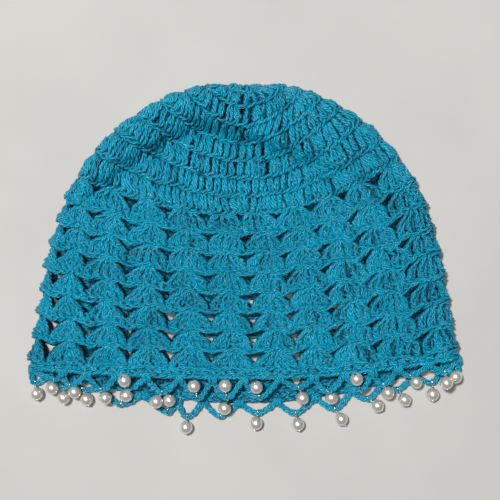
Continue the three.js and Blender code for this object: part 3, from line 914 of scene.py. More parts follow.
FAN_FILL = StitchStrand(
    knots=(
        (0.50, -0.0003, 0.20, -0.0004), (0.50, 0.0003, 0.38, 0.00020), (0.50, -0.0002, 0.60, 0.00030),
        (0.50, 0.0, 0.86, -0.00010),
    ),
    radius=0.00100,
    sides=5,
    # Painted shade: the low fill strand between the legs is painted darker.
    tone=-0.10,
)
FAN_WRAP = StitchStrand(
    knots=(
        (0.0, -0.0026, 0.58, -0.0003), (0.0, -0.0012, 0.64, 0.00115),
        (0.0, 0.0012, 0.76, 0.00175), (0.0, 0.0027, 0.84, -0.0001),
    ),
    radius=0.00082,
    sides=4,
)
FAN_WRAP_UP = StitchStrand(
    knots=(
        (0.0, -0.0020, 0.26, -0.0004), (0.0, -0.0009, 0.32, 0.00110),
        (0.0, 0.0010, 0.44, 0.00160), (0.0, 0.0022, 0.52, -0.0002),
    ),
    radius=0.00074,
    sides=4,
)
FAN_EDGE = StitchStrand(
    knots=(
        (-0.30, 0.0, 0.80, 0.0000), (0.10, 0.0, 0.86, 0.00145),
        (0.60, 0.0, 0.87, 0.00155), (1.10, 0.0, 0.96, 0.0001),
    ),
    radius=0.00080,
    sides=5,
)
FAN_CORE = StitchStrand(
    knots=(
        (0.0, 0.0, -0.02, -0.0007), (0.0, 0.0, 0.12, -0.0003), (0.0, 0.0, 0.42, -0.0002),
        (0.0, 0.0, 0.86, -0.0002), (0.0, 0.0, 1.02, -0.0006),
    ),
    radius=0.00270,
    steps=1,
    flat=0.33,
    # Painted shade: the flat core under the fan's posts is painted darker, so the gaps between posts read
    # dark.
    tone=-0.18,
)
FAN_CHAIN = StitchStrand(
    knots=(
        (-0.30, 0.0, 1.02, -0.0006), (0.05, 0.0, 1.015, 0.00090),
        (0.55, 0.0, 0.955, 0.00145), (0.95, 0.0, 0.865, 0.00060), (1.15, 0.0, 0.82, -0.0004),
    ),
    radius=0.00080,
    sides=5,
)
EYEBROW = StitchStrand(
    knots=(
        (-1.2, 0.0, 0.90, 0.0001), (-0.6, 0.0, 0.945, 0.0012), (0.5, 0.0, 0.985, 0.0016),
        (1.6, 0.0, 0.945, 0.0013), (2.2, 0.0, 0.90, 0.0001),
    ),
    radius=0.00066,
    # Painted light: the raised strand over each gap is painted lighter.
    tone=0.15,
)
EYEBROW_UNDER = StitchStrand(
    knots=(
        (-1.0, 0.0, 0.96, -0.0002), (-0.4, 0.0, 1.00, 0.0006), (0.5, 0.0, 1.03, 0.0009),
        (1.4, 0.0, 1.00, 0.0006), (2.0, 0.0, 0.96, -0.0002),
    ),
    radius=0.00050,
)


@dataclass
class ShellWall:
    """Eight rounds of stacked fans, with a crescent-shaped gap between neighbouring fans."""

    surface: LaySurface
    seed: int = 23
    fans: int = 20
    first_round: int = 8
    rows: int = 8
    posts: int = 5
    gap_shift: float = 0.005
    open_from: float = 4.0
    base_spread: tuple[float, float] = (0.42, 0.25)
    bulge: float = 1.30
    spread_end: tuple[float, float] = (0.40, 0.66)
    top_spread: float = 0.83
    edge_sag: float = 0.07
    edge_tilt: float = 0.18
    tilt_middle: float = 0.225
    tilt_reach: float = 0.06
    left_tilt: float = -0.35
    left_narrow: tuple[float, float] = (0.14, 0.20)
    left_narrowing: float = 0.45
    left_gap: tuple[float, float] = (0.02, 0.04)
    left_rows: tuple[float, float] = (2.5, 4.5)
    left_end: float = 0.76
    left_base: float = 0.10
    right_gaps: tuple[float, float] = (0.30, 0.355)
    right_end: float = 0.42
    right_base: float = 0.30
    turn: tuple[float, float] = (0.0070, 0.0140)
    left_turn: float = 0.0100
    left_reach: float = 0.12
    right_turn: float = 0.0070
    right_shares: tuple[float, float] = (0.30, 0.42)
    fold_reach: float = 0.07
    past_fold_shares: tuple[float, float] = (0.50, 0.64)
    under_shares: tuple[float, float] = (0.58, 0.68)
    back_rows: tuple[float, float] = (1.5, 4.0)
    base_width: float = 0.55
    jitter: float = 0.0012
    top_jitter: float = 0.0003
    openness_jitter: float = 0.10
    edge_lift: float = 0.0002
    left_lift: float = 0.0027
    right_lift: float = 0.0010

    def boundaries(self) -> Points:
        """Even shares of the gaps' middles.

        Returns:
            The shares; gap i lies between fan i and fan i + 1.
        """
        i = np.arange(self.fans)
        shift = np.where(i < self.fans / 2, -self.gap_shift, self.gap_shift)
        return (i + 0.5) / self.fans + shift

    def build(self) -> list[bpy.types.Object]:
        """Models one piece a round.

        Returns:
            The pieces, from the crown towards the hem.
        """
        setter = StitchSetter(self.surface, np.random.default_rng(self.seed))
        return [self._model_row(setter, number) for number in range(self.rows)]

    def _posts(self, setter: StitchSetter, number: int) -> PostRow:
        """The posts of one round, five a fan, spread from a narrow foot.

        Args:
            setter: What sets the strands.
            number: The round's number in the wall, from 0.

        Returns:
            The posts.
        """
        gap = self._columns(self.boundaries(), number)
        gap = gap + setter.random.normal(0.0, self.jitter, self.fans)
        low = np.concatenate([gap[-1:] - 1.0, gap[:-1]])
        centre = np.repeat((low + gap) / 2, self.posts)
        width = np.repeat(gap - low, self.posts)
        place = np.tile(np.linspace(-0.5, 0.5, self.posts), self.fans)
        stray = setter.random.normal(0.0, self.openness_jitter)
        openness = np.clip(number / self.open_from + stray, 0.0, 1.0)
        spread = self.base_spread[0] + (self.base_spread[1] - self.base_spread[0]) * openness
        spread_end = self.spread_end[0] + (self.spread_end[1] - self.spread_end[0]) * openness
        right = smoothstep(*self.right_gaps, centre) * (centre < FOLD_SHARE)
        spread = spread + (self.right_base - spread) * right
        spread_end = spread_end + (self.right_end - spread_end) * right
        narrow = 1.0 - smoothstep(*self.left_narrow, centre)
        spread = spread * (1.0 - self.left_narrowing * narrow)
        near = np.abs(centre - self.left_gap[0]) < self.left_gap[1]
        left = near * smoothstep(*self.left_rows, float(number))
        spread = spread + (self.left_base - spread) * left
        spread_end = spread_end + (self.left_end - spread_end) * left
        lean = np.repeat(setter.random.normal(0.0, self.jitter, self.fans), self.posts)
        side = np.clip((centre - self.tilt_middle) / self.tilt_reach, self.left_tilt, 1.0)
        side = np.where(centre < FOLD_SHARE, side, 0.0)
        top = centre + place * width * self.top_spread
        top = top + setter.random.normal(0.0, self.top_jitter, len(top))
        return PostRow(
            base=centre + place * width * spread + lean,
            top=top,
            start=float(self.first_round + number),
            sag=self.edge_sag * (2.0 * place) ** 2 + self.edge_tilt * place * side,
            bulge=self.bulge,
            spread_end=spread_end,
            base_width=self.base_width,
            lift=self.edge_lift,
            left_lift=self.left_lift,
            right_lift=self.right_lift,
        )

    def _columns(self, gap: Points, number: int) -> Points:
        """Turns the rounds against each other, so that the columns of gaps lean.

        Args:
            gap: Even shares of the gaps' middles.
            number: The round's number in the wall, from 0.

        Returns:
            Shares of this round's gaps.
        """
        above = 1.0 - number / self.rows
        turn = self.turn[0] + self.turn[1] * above
        left = self.left_turn * (2.0 * above - 1.0) * np.exp(-((gap / self.left_reach) ** 2))
        right = self.right_turn * smoothstep(*self.right_shares, gap)
        front = gap - (turn + left + right) * smoothstep(0.0, self.fold_reach, gap)
        past_fold = (turn + self.right_turn) * (1.0 - smoothstep(*self.past_fold_shares, gap))
        under = turn * smoothstep(*self.under_shares, gap) * smoothstep(0.0, self.fold_reach, 1.0 - gap)
        back = gap - past_fold + under * smoothstep(*self.back_rows, float(number))
        return np.where(gap < FOLD_SHARE, front, back)

    def _model_row(self, setter: StitchSetter, number: int) -> bpy.types.Object:
        """Models a round's fans, the chain on their edge and the smooth strands over the gaps.

        Args:
            setter: What sets the strands.
            number: The round's number in the wall, from 0.

        Returns:
            The round.
        """
        row = self._posts(setter, number)
        here = np.arange(len(row.top))
        there = np.roll(here, -1)
        inner = here % self.posts != self.posts - 1
        last = here[~inner]
        tone = setter.tones(len(here))
        bundle = YarnBundle()
        for strand in (FAN_CORE, FAN_WRAP, FAN_WRAP_UP):
            setter.set_strand(bundle, strand, row, here, here, tone)
        setter.set_strand(bundle, FAN_LEGS, row, here, there, tone)
        for strand in (FAN_FILL, FAN_EDGE, FAN_CHAIN):
            setter.set_strand(bundle, strand, row, here[inner], there[inner], tone)
        for strand in (EYEBROW, EYEBROW_UNDER):
            setter.set_strand(bundle, strand, row, last, there[last], tone)
        return bundle.build(f"shell_row_{number + 1}")


BAND_LEGS = StitchStrand(
    knots=(
        (0.0, 0.00040, -0.04, -0.0004), (0.0, 0.00130, 0.16, 0.0005), (0.06, 0.00120, 0.44, 0.0009),
        (0.5, 0.0, 0.66, 0.0003), (0.94, -0.00120, 0.44, 0.0006), (1.0, -0.00130, 0.16, 0.0004),
        (1.0, -0.00040, -0.04, -0.0005),
    ),
    radius=0.00100,
)
BAND_WRAP = StitchStrand(
    knots=(
        (-0.45, 0.0, 0.08, -0.0004), (-0.15, 0.0, 0.20, 0.0013),
        (0.25, 0.0, 0.46, 0.0016), (0.55, 0.0, 0.62, 0.0000),
    ),
    radius=0.00086,
)
BAND_CORE = StitchStrand(
    knots=(
        (0.0, 0.0, -0.15, -0.0008), (0.0, 0.0, 0.20, -0.0003),
        (0.0, 0.0, 0.80, -0.0003), (0.0, 0.0, 1.1, -0.0008),
    ),
    radius=0.00380,
    steps=1,
    flat=0.27,
    # Painted shade: the flat core under the band's stitches is painted darker, so the gaps between stitches
    # read dark.
    tone=-0.20,
)
BAND_CHAIN = StitchStrand(
    knots=(
        (-0.30, 0.0, 1.02, -0.0006), (0.05, 0.0, 1.02, 0.0009), (0.55, 0.0, 0.88, 0.0016),
        (0.95, 0.0, 0.74, 0.0008), (1.10, 0.0, 0.70, -0.0003),
    ),
    radius=0.00092,
)
BAND_CHAIN_UNDER = StitchStrand(
    knots=(
        (-0.30, 0.0, 1.04, -0.0008), (0.2, 0.0, 1.10, 0.0002),
        (0.7, 0.0, 1.10, 0.0002), (1.20, 0.0, 1.04, -0.0008),
    ),
    radius=0.00080,
    sides=5,
)


@dataclass
class BrimBand:
    """One round of single crochet under the last fans."""

    surface: LaySurface
    seed: int = 37
    stitches: int = 96
    stitch_jitter: float = 0.05
    start: float = 16.04
    end: float = HEM_ROUND

    def build(self) -> list[bpy.types.Object]:
        """Models the band.

        Returns:
            The band as a list of one piece.
        """
        setter = StitchSetter(self.surface, np.random.default_rng(self.seed))
        top = (np.arange(self.stitches) + 0.5) / self.stitches
        top = top + setter.random.normal(0.0, self.stitch_jitter, self.stitches) / self.stitches
        row = PostRow(top, top, self.start, self.end - self.start)
        here = np.arange(self.stitches)
        there = np.roll(here, -1)
        tone = setter.tones(self.stitches)
        bundle = YarnBundle()
        for strand in (BAND_CORE, BAND_LEGS, BAND_WRAP, BAND_CHAIN, BAND_CHAIN_UNDER):
            setter.set_strand(bundle, strand, row, here, there, tone)
        return [bundle.build("brim_band_stitches")]


# Lace


@dataclass
class LaceEdging:
    """Chain-stitch loops that hang from the band, one chain all the way round."""

    surface: LaySurface
    seed: int = 41
    chain_radius: float = 0.0011
    chain_flat: float = 0.0017
    seat: float = 0.0003
    front_sag: float = 0.0016
    back_anchor: float = 0.0017
    back_tip: float = 0.0025
    leg_reach: float = 0.55
    leg_bow: float = 0.7
    anchor_radii: float = 1.25
    path_steps: int = 8
    link_pitch: float = 0.0038
    link_half: float = 0.0031
    link_width: float = 0.00142
    link_radius: float = 0.00080
    link_spread: float = 0.12
    link_points: int = 14
    link_sides: int = 5
    link_pinch: tuple[float, float] = (0.58, 0.42)
    link_bulge: float = 1.3
    link_rise: float = 0.00058
    link_height: float = 0.00016
    link_wobble: float = 0.00008
    link_tone: tuple[float, float] = (0.5, 0.15)
    # Painted shade: how much lighter each link is painted at its raised end and darker at its low start.
    link_painted_shade: float = 0.30
    look_ahead: float = 0.0004
    core_radius: float = 0.0012
    core_drop: float = 0.0003
    core_painted_shade: float = 0.3
    yarn_sides: int = 6
    joint_knots: tuple[Place, ...] = (
        (0.0, 0.0030, 0.0002), (0.0, 0.0014, 0.0014), (0.0004, -0.0004, 0.0015),
        (0.0003, -0.0017, 0.0002), (0.0, -0.0008, -0.0010),
    )
    joint_steps: int = 2
    joint_jitter: float = 0.0003
    joint_tone: tuple[float, float] = (0.55, 0.12)
    joint_offsets: tuple[float, ...] = (-0.0016, -0.0004, 0.0009, 0.0020)
    joint_radius: float = 0.00092
    front_tips: tuple[tuple[float, float], ...] = (
        (-0.1153, -0.0732), (-0.1052, -0.0764), (-0.0865, -0.0792), (-0.0694, -0.0780),
        (-0.0502, -0.0807), (-0.0286, -0.0843), (-0.0112, -0.0840), (0.0089, -0.0840),
        (0.0326, -0.0780), (0.0500, -0.0804), (0.0695, -0.0792), (0.0836, -0.0762),
        (0.1001, -0.0708), (0.1204, -0.0690),
    )
    back_tips: tuple[tuple[float, float], ...] = (
        (-0.1279, -0.0756), (-0.1108, -0.0786), (-0.0991, -0.0798), (-0.0766, -0.0888),
        (-0.0478, -0.0936), (-0.0355, -0.0963), (-0.0157, -0.0960), (0.0077, -0.0942),
        (0.0305, -0.0942), (0.0545, -0.0915), (0.0746, -0.0855), (0.0929, -0.0801),
        (0.1137, -0.0756), (0.1283, -0.0684),
    )
    tips: dict[tuple[Layer, int], tuple[Points, Points]] = field(default_factory=dict)
    joints: list[Points] = field(default_factory=list)

    @property
    def hem_drop(self) -> float:
        """How far the anchors lie under the band's edge."""
        return self.chain_radius * self.anchor_radii + self.seat

    def hem_point(self, x: float, layer: Layer) -> Points:
        """Point of the band's edge at a place across the hat.

        Args:
            x: The place.
            layer: The layer whose edge it is.

        Returns:
            The point.
        """
        left, _ = self.surface.fold_point(HEM_ROUND, -1.0)
        right, _ = self.surface.fold_point(HEM_ROUND, 1.0)
        along = np.clip((x - left) / (right - left), 0.0, 1.0)
        front = np.array([layer is Layer.FRONT])
        depth = self.surface.lay.fabric / 2
        return self.surface.round_point(np.array([HEM_ROUND]), along, front, depth)[0]

    def _fold_anchor(self, side: float) -> Points:
        """Anchor of the chain at a fold, -1 the left one and 1 the right one."""
        x, y = self.surface.fold_point(HEM_ROUND, side)
        return np.array([x[0], y[0] - self.hem_drop - self.seat, self.surface.lay.fold_height])

    def _anchor(self, a: tuple[float, float], b: tuple[float, float], layer: Layer) -> Points:
        """Anchor between two loops.

        Args:
            a: Plan point of the first loop's tip.
            b: Plan point of the second loop's tip.
            layer: The layer that they hang from.

        Returns:
            The anchor.
        """
        point = self.hem_point((a[0] + b[0]) / 2, layer)
        height = point[2] if layer is Layer.FRONT else self.back_anchor
        return np.array([point[0], point[1] - self.hem_drop, height])

    def _loop(self, start: Points, tip: Points, end: Points) -> tuple[list[Points], Points]:
        """Draws one loop between two anchors.

        Args:
            start: The first anchor.
            tip: The loop's tip.
            end: The second anchor.

        Returns:
            The loop's knots, and the direction of its straight tip.
        """
        across = end - start
        across[2] = 0.0
        across = unit(across)
        bow = across * self.chain_flat * self.leg_bow
        knots = [
            start + (tip - start) * self.leg_reach - bow,
            tip - across * self.chain_flat,
            tip + across * self.chain_flat,
            end + (tip - end) * self.leg_reach + bow,
        ]
        return knots, across

    def path(self) -> Points:
        """Draws the whole chain, the front layer from left to right and the back layer back.

        Returns:
            The chain's knots, one a row. The tips and the anchors are kept on the way.
        """
        left = self._fold_anchor(-1.0)
        right = self._fold_anchor(1.0)
        knots: list[Points] = []
        runs = ((Layer.FRONT, list(enumerate(self.front_tips)), left, right),
                (Layer.BACK, list(enumerate(self.back_tips))[::-1], right, left))
        for layer, loops, start, last in runs:
            for position, (number, plan) in enumerate(loops):
                height = self.hem_point(plan[0], layer)[2] - self.front_sag
                tip = np.array([*plan, height if layer is Layer.FRONT else self.back_tip])
                final = position == len(loops) - 1
                end = last if final else self._anchor(plan, loops[position + 1][1], layer)
                middle, along = self._loop(start, tip, end)
                knots += [start, *middle]
                self.joints.append(start)
                self.tips[(layer, number)] = (tip, along)
                start = end
        return np.array(knots)

    def build(self) -> list[bpy.types.Object]:
        """Models the chain, link by link.

        Returns:
            The lace as a list of one piece.
        """
        random = np.random.default_rng(self.seed)
        curve = smooth_path(self.path(), self.path_steps, closed=True)
        bundle = YarnBundle()
        self._add_links(bundle, random, np.concatenate([curve, curve[:1]]))
        # Painted shade: the core under the links is painted darker than the links, so the gaps between them
        # read dark.
        core = curve[None] - np.array(UP) * self.core_drop
        bundle.add(core, np.broadcast_to(UP, core.shape), self.core_radius, self.yarn_sides,
                   self.core_painted_shade, closed=True)
        self._add_joints(bundle, random)
        return [bundle.build("lace_chain")]

    def _add_links(self, bundle: YarnBundle, random: np.random.Generator, loop: Points) -> None:
        """Adds the chain's links, each a ring of yarn that is pinched and lies deeper at its start.

        Args:
            bundle: Where the yarn goes.
            random: What the links' variation is drawn from.
            loop: Points of the chain's middle line, the first one also at the end.
        """
        lengths = np.concatenate([[0.0], np.cumsum(np.linalg.norm(np.diff(loop, axis=0), axis=1))])
        links = int(lengths[-1] / self.link_pitch)
        pitch = lengths[-1] / links
        turn = np.linspace(0.0, 2 * pi, self.link_points, endpoint=False)
        forward = self.link_half * np.cos(turn)
        pinch = self.link_pinch[0] + self.link_pinch[1] * np.cos(turn)
        sideways = self.link_width * np.sin(turn) * pinch * self.link_bulge
        rise = self.link_rise * np.cos(turn) + self.link_height
        at = np.mod((np.arange(links)[:, None] + 0.5) * pitch + forward, lengths[-1])
        ahead = np.mod(at + self.look_ahead, lengths[-1])
        middle, front = (
            np.stack([np.interp(place, lengths, loop[:, axis]) for axis in range(3)], axis=-1)
            for place in (at, ahead)
        )
        along = unit(front - middle)
        upright = np.broadcast_to(UP, along.shape)
        side = unit(np.cross(upright, along))
        swell = 1.0 + random.normal(0.0, self.link_spread, (links, 1, 1))
        points = middle + (side * sideways[:, None] + upright * rise[:, None]) * swell
        wobble = random.normal(0.0, self.link_wobble, (links, 1, 3))
        tone = np.clip(random.normal(*self.link_tone, links), 0.0, 1.0)
        # Painted shade: each link is painted lighter where it rises and darker where it lies deeper.
        shade = tone[:, None] + self.link_painted_shade * np.cos(turn)
        bundle.add(points + wobble, upright, self.link_radius, self.link_sides, shade, closed=True)

    def _add_joints(self, bundle: YarnBundle, random: np.random.Generator) -> None:
        """Adds the short stitches that hold the chain under the band.

        Args:
            bundle: Where the yarn goes.
            random: What the stitches' variation is drawn from.
        """
        places = np.repeat(np.array(self.joints), len(self.joint_offsets), axis=0)
        places[:, 0] += np.tile(self.joint_offsets, len(self.joints))
        places += random.normal(0.0, self.joint_jitter, places.shape)
        curves = smooth_path(np.array(self.joint_knots), self.joint_steps)[None] + places[:, None]
        tone = random.normal(*self.joint_tone, len(places))
        bundle.add(curves, np.broadcast_to(UP, curves.shape), self.joint_radius, self.yarn_sides, tone)


# Pearls and pins


def only_nothing() -> None:
    """Deselects everything."""
    bpy.ops.object.select_all(action="DESELECT")


def only(*objects: bpy.types.Object) -> None:
    """Selects these objects and nothing else, and makes the first one active.

    Args:
        objects: The objects.
    """
    only_nothing()
    for item in objects:
        item.select_set(True)
    bpy.context.view_layer.objects.active = objects[0]


def select_faces(piece: bpy.types.Object, wanted: Callable[[Vector, Vector], bool]) -> None:
    """Leaves only some of a piece's faces selected, in edit mode.

    Args:
        piece: The piece.
        wanted: Says from a face's centre and normal whether it is selected.
    """
    bpy.ops.object.mode_set(mode="OBJECT")
    mesh = piece.data
    mesh.vertices.foreach_set("select", np.zeros(len(mesh.vertices), bool))
    mesh.edges.foreach_set("select", np.zeros(len(mesh.edges), bool))
    for face in mesh.polygons:
        face.select = bool(wanted(face.center, face.normal))
    bpy.ops.object.mode_set(mode="EDIT")


def copy_piece(source: bpy.types.Object, name: str) -> bpy.types.Object:
    """Copies a piece.

    Args:
        source: The piece.
        name: Name of the copy and of its mesh.

    Returns:
        The copy, with its own mesh.
    """
    piece = source.copy()
    piece.data = source.data.copy()
    piece.name = name
    piece.data.name = name
    bpy.context.scene.collection.objects.link(piece)
    return piece


@dataclass
class PearlDrops:
    """One pearl a loop, on a wire pin with a flat head, a wrapped neck and an open eye."""

    lace: LaceEdging
    pearl_radius: float = 0.0040
    pearl_segments: int = 28
    pearl_rings: int = 20
    pearl_smooth: float = 0.7
    pole_share: float = 0.985
    pole_tolerance: float = 1e-5
    hole_rim: float = 0.00012
    hole_depth: float = 0.0006
    wire_radius: float = 0.00030
    wire_sides: int = 10
    eye_half_width: float = 0.00215
    eye_half_length: float = 0.0024
    eye_seat: float = 0.0006
    eye_segments: tuple[int, int] = (24, 8)
    neck_length: float = 0.0012
    wrap_turns: int = 3
    wrap_start: float = 0.4
    wrap_radii: tuple[float, float] = (1.9, 0.9)
    wrap_segments: tuple[int, int] = (12, 6)
    wrap_slant: float = 0.18
    head_radius: float = 0.00085
    head_thickness: float = 0.0004
    head_sides: int = 16
    head_sink: float = 0.2
    head_bevel: float = 0.00012
    pin_smooth: float = 0.9

    def centre(self, node: bpy.types.Object) -> Points:
        """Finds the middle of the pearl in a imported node, from its top or bottom pole.

        Args:
            node: The node, one solid with its pin.

        Returns:
            The pearl's middle.
        """
        vertices = np.array([v.co for v in node.data.vertices])
        rise = np.array(UP) * self.pearl_radius
        poles = (vertices[vertices[:, 2].argmin()] + rise, vertices[vertices[:, 2].argmax()] - rise)
        on_pearl = [
            (np.abs(np.linalg.norm(vertices - pole, axis=1) - self.pearl_radius) < self.pole_tolerance).sum()
            for pole in poles
        ]
        return poles[int(np.argmax(on_pearl))]

    def model_pearl(self) -> bpy.types.Object:
        """Models a round bead with a drilled hole along X.

        Returns:
            The bead, to be copied.
        """
        only_nothing()
        bpy.ops.mesh.primitive_uv_sphere_add(
            segments=self.pearl_segments, ring_count=self.pearl_rings, radius=self.pearl_radius)
        pearl = bpy.context.active_object
        pole = self.pearl_radius * self.pole_share
        bpy.ops.object.mode_set(mode="EDIT")
        bpy.ops.mesh.select_mode(type="FACE")
        for sign in (1.0, -1.0):
            select_faces(pearl, lambda centre, _, s=sign: centre.z * s > pole)
            bpy.ops.mesh.inset(thickness=self.hole_rim)
            inwards = (0, 0, -sign * self.hole_depth)
            bpy.ops.mesh.extrude_region_move(TRANSFORM_OT_translate={"value": inwards})
        bpy.ops.object.mode_set(mode="OBJECT")
        pearl.data.transform(Matrix.Rotation(pi / 2, 4, "Y"))
        only(pearl)
        bpy.ops.object.shade_smooth_by_angle(angle=self.pearl_smooth)
        return pearl

    def model_pin(self) -> bpy.types.Object:
        """Models a pin along X, from its head behind the pearl to its eye.

        Returns:
            The pin, to be copied.
        """
        only(self._eye(), *self._wraps(), self._shank(), self._head())
        bpy.ops.object.join()
        pin = bpy.context.active_object
        bpy.ops.object.transform_apply(location=True, rotation=True, scale=True)
        bpy.ops.object.shade_smooth_by_angle(angle=self.pin_smooth)
        return pin

    def _eye(self) -> bpy.types.Object:
        """Models the pin's eye, a long ring past the neck.

        Returns:
            The eye.
        """
        only_nothing()
        bpy.ops.mesh.primitive_torus_add(
            major_radius=self.eye_half_width, minor_radius=self.wire_radius,
            major_segments=self.eye_segments[0], minor_segments=self.eye_segments[1], location=(0, 0, 0))
        eye = bpy.context.active_object
        middle = self.pearl_radius + self.neck_length + self.eye_half_length
        eye.data.transform(Matrix.Diagonal((self.eye_half_length / self.eye_half_width, 1, 1, 1)))
        eye.data.transform(Matrix.Translation((middle, 0, 0)))
        return eye

    def _wraps(self) -> list[bpy.types.Object]:
        """Models the turns of wire round the pin's neck.

        Returns:
            The turns, from the pearl outwards.
        """
        turns = []
        for turn in range(self.wrap_turns):
            only_nothing()
            along = self.pearl_radius + self.neck_length * (turn + self.wrap_start) / self.wrap_turns
            bpy.ops.mesh.primitive_torus_add(
                major_radius=self.wire_radius * self.wrap_radii[0],
                minor_radius=self.wire_radius * self.wrap_radii[1],
                major_segments=self.wrap_segments[0], minor_segments=self.wrap_segments[1],
                rotation=(0, pi / 2 + self.wrap_slant, 0), location=(along, 0, 0))
            turns.append(bpy.context.active_object)
        return turns

    def _shank(self) -> bpy.types.Object:
        """Models the straight wire through the pearl and the neck.

        Returns:
            The wire.
        """
        only_nothing()
        bpy.ops.mesh.primitive_cylinder_add(
            vertices=self.wire_sides, radius=self.wire_radius, depth=2 * self.pearl_radius + self.neck_length,
            rotation=(0, pi / 2, 0), location=(self.neck_length / 2, 0, 0))
        return bpy.context.active_object

    def _head(self) -> bpy.types.Object:
        """Models the flat head behind the pearl.

        Returns:
            The head, its edges rounded.
        """
        only_nothing()
        bpy.ops.mesh.primitive_cylinder_add(
            vertices=self.head_sides, radius=self.head_radius, depth=self.head_thickness,
            rotation=(0, pi / 2, 0),
            location=(-self.pearl_radius - self.head_thickness * self.head_sink, 0, 0))
        bpy.ops.object.mode_set(mode="EDIT")
        bpy.ops.mesh.bevel(offset=self.head_bevel, segments=2)
        bpy.ops.object.mode_set(mode="OBJECT")
        return bpy.context.active_object

    def build(self) -> list[tuple[str, bpy.types.Object, bpy.types.Object]]:
        """Copies the pearl and the pin to every loop.

        Returns:
            The node's name, the pearl and the pin of each drop.
        """
        pearl = self.model_pearl()
        pin = self.model_pin()
        drops = []
        for layer, number in sorted(self.lace.tips, key=lambda loop: (loop[0].value, loop[1])):
            tip, along = self.lace.tips[(layer, number)]
            name = f"pearl_{layer.value}_{number + 1:02d}"
            centre = self.centre(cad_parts[name])
            turn, away = self._turn(tip, along, centre)
            bead = copy_piece(pearl, f"{name}_bead")
            bead.data.transform(Matrix.Translation(Vector(centre)) @ turn)
            wire = copy_piece(pin, f"{name}_pin")
            self._stretch(wire, away, tip, along, centre)
            wire.data.transform(Matrix.Translation(Vector(centre)) @ turn)
            drops.append((name, bead, wire))
        for source in (pearl, pin):
            bpy.data.objects.remove(source)
        return drops

    def _turn(self, tip: Points, along: Points, centre: Points) -> tuple[Matrix, float]:
        """Turns a drop so that +X runs from the pearl to the loop's tip.

        Args:
            tip: The loop's tip.
            along: Direction of the chain there.
            centre: Middle of the pearl.

        Returns:
            The turn, and the distance from the pearl's middle to the tip.
        """
        to_tip = tip - centre
        away = float(np.linalg.norm(to_tip))
        x_axis = to_tip / away
        y_axis = unit(np.cross(along, x_axis))
        z_axis = np.cross(x_axis, y_axis)
        basis = Matrix((x_axis, y_axis, z_axis)).transposed()
        return basis.to_4x4(), away

    def _stretch(self, wire: bpy.types.Object, away: float, tip: Points, along: Points,
                 centre: Points) -> None:
        """Stretches the pin past the pearl's surface, so that its eye goes round the chain.

        Args:
            wire: The pin.
            away: Distance from the pearl's middle to the loop's tip.
            tip: The loop's tip.
            along: Direction of the chain there.
            centre: Middle of the pearl.
        """
        slant = float(np.linalg.norm(np.cross(along, (tip - centre) / away)))
        end = away + self.lace.chain_radius / slant + self.eye_seat + 2 * self.wire_radius
        near = self.pearl_radius
        modelled = self.neck_length + 2 * self.eye_half_length + self.wire_radius
        factor = (end - near) / modelled
        for vertex in wire.data.vertices:
            if vertex.co.x > near:
                vertex.co.x = near + (vertex.co.x - near) * factor


# Finishes


class NodeSheet:
    """Short calls for building a node tree."""

    def __init__(self, tree: bpy.types.NodeTree) -> None:
        """Works on one tree."""
        self.tree = tree

    def node(self, kind: str, **settings: object) -> bpy.types.Node:
        """Adds a node.

        Args:
            kind: The node's type.
            settings: Values of the inputs of those names, and of properties where no input has the name.

        Returns:
            The node.
        """
        made = self.tree.nodes.new(kind)
        for key, value in settings.items():
            if key in made.inputs:
                made.inputs[key].default_value = value
            else:
                setattr(made, key, value)
        return made

    def link(self, source: bpy.types.NodeSocket, target: bpy.types.NodeSocket) -> None:
        """Joins two sockets."""
        self.tree.links.new(source, target)

    def feed(self, target: bpy.types.NodeSocket, value: Value) -> None:
        """Joins a socket to an input, or gives the input a value.

        Args:
            target: The input.
            value: The socket or the value.
        """
        if isinstance(value, bpy.types.NodeSocket):
            self.link(value, target)
        else:
            target.default_value = value

    def maths(self, operation: str, *values: Value) -> bpy.types.NodeSocket:
        """Adds a maths node.

        Args:
            operation: The operation's name.
            values: One or two values or sockets.

        Returns:
            The result's socket.
        """
        made = self.node("ShaderNodeMath", operation=operation)
        for target, value in zip(made.inputs, values):
            self.feed(target, value)
        return made.outputs[0]

    def plus(self, base: Value, value: Value, share: float) -> bpy.types.NodeSocket:
        """One value with a share of another added."""
        return self.maths("ADD", base, self.maths("MULTIPLY", value, share))

    def blend(self, factor: Value, a: Value, b: Value) -> bpy.types.NodeSocket:
        """Adds a mix of two colours.

        Args:
            factor: Share of the second colour.
            a: First colour.
            b: Second colour.

        Returns:
            The colour's socket.
        """
        made = self.node("ShaderNodeMix", data_type="RGBA")
        for number, value in ((0, factor), (6, a), (7, b)):
            self.feed(made.inputs[number], value)
        return made.outputs[2]

    def relief(self, shader: bpy.types.Node, height: Value, strength: float, depth: float) -> None:
        """Gives a shader fine relief.

        Args:
            shader: The shader.
            height: The relief's height.
            strength: Its strength.
            depth: Its depth, in metres.
        """
        bump = self.node("ShaderNodeBump", Strength=strength, Distance=depth)
        self.feed(bump.inputs["Height"], height)
        self.link(bump.outputs[0], shader.inputs["Normal"])


def start_material(
    name: str, settings: dict[str, Value]
) -> tuple[bpy.types.Material, NodeSheet, bpy.types.Node]:
    """Starts a material with a Principled shader.

    Args:
        name: The material's name.
        settings: Values of the shader's inputs.

    Returns:
        The material, its node sheet and the shader.
    """
    material = bpy.data.materials.new(name)
    material.use_nodes = True
    material.node_tree.nodes.clear()
    sheet = NodeSheet(material.node_tree)
    shader = sheet.node("ShaderNodeBsdfPrincipled", **settings)
    output = sheet.node("ShaderNodeOutputMaterial")
    sheet.link(shader.outputs[0], output.inputs[0])
    return material, sheet, shader


SPECKLE_DETAILS = (3.0, 5.0)
SPECKLE_ROUGHNESS = 0.6
SPECKLE_RANGE = {"From Min": 0.3, "From Max": 0.7}


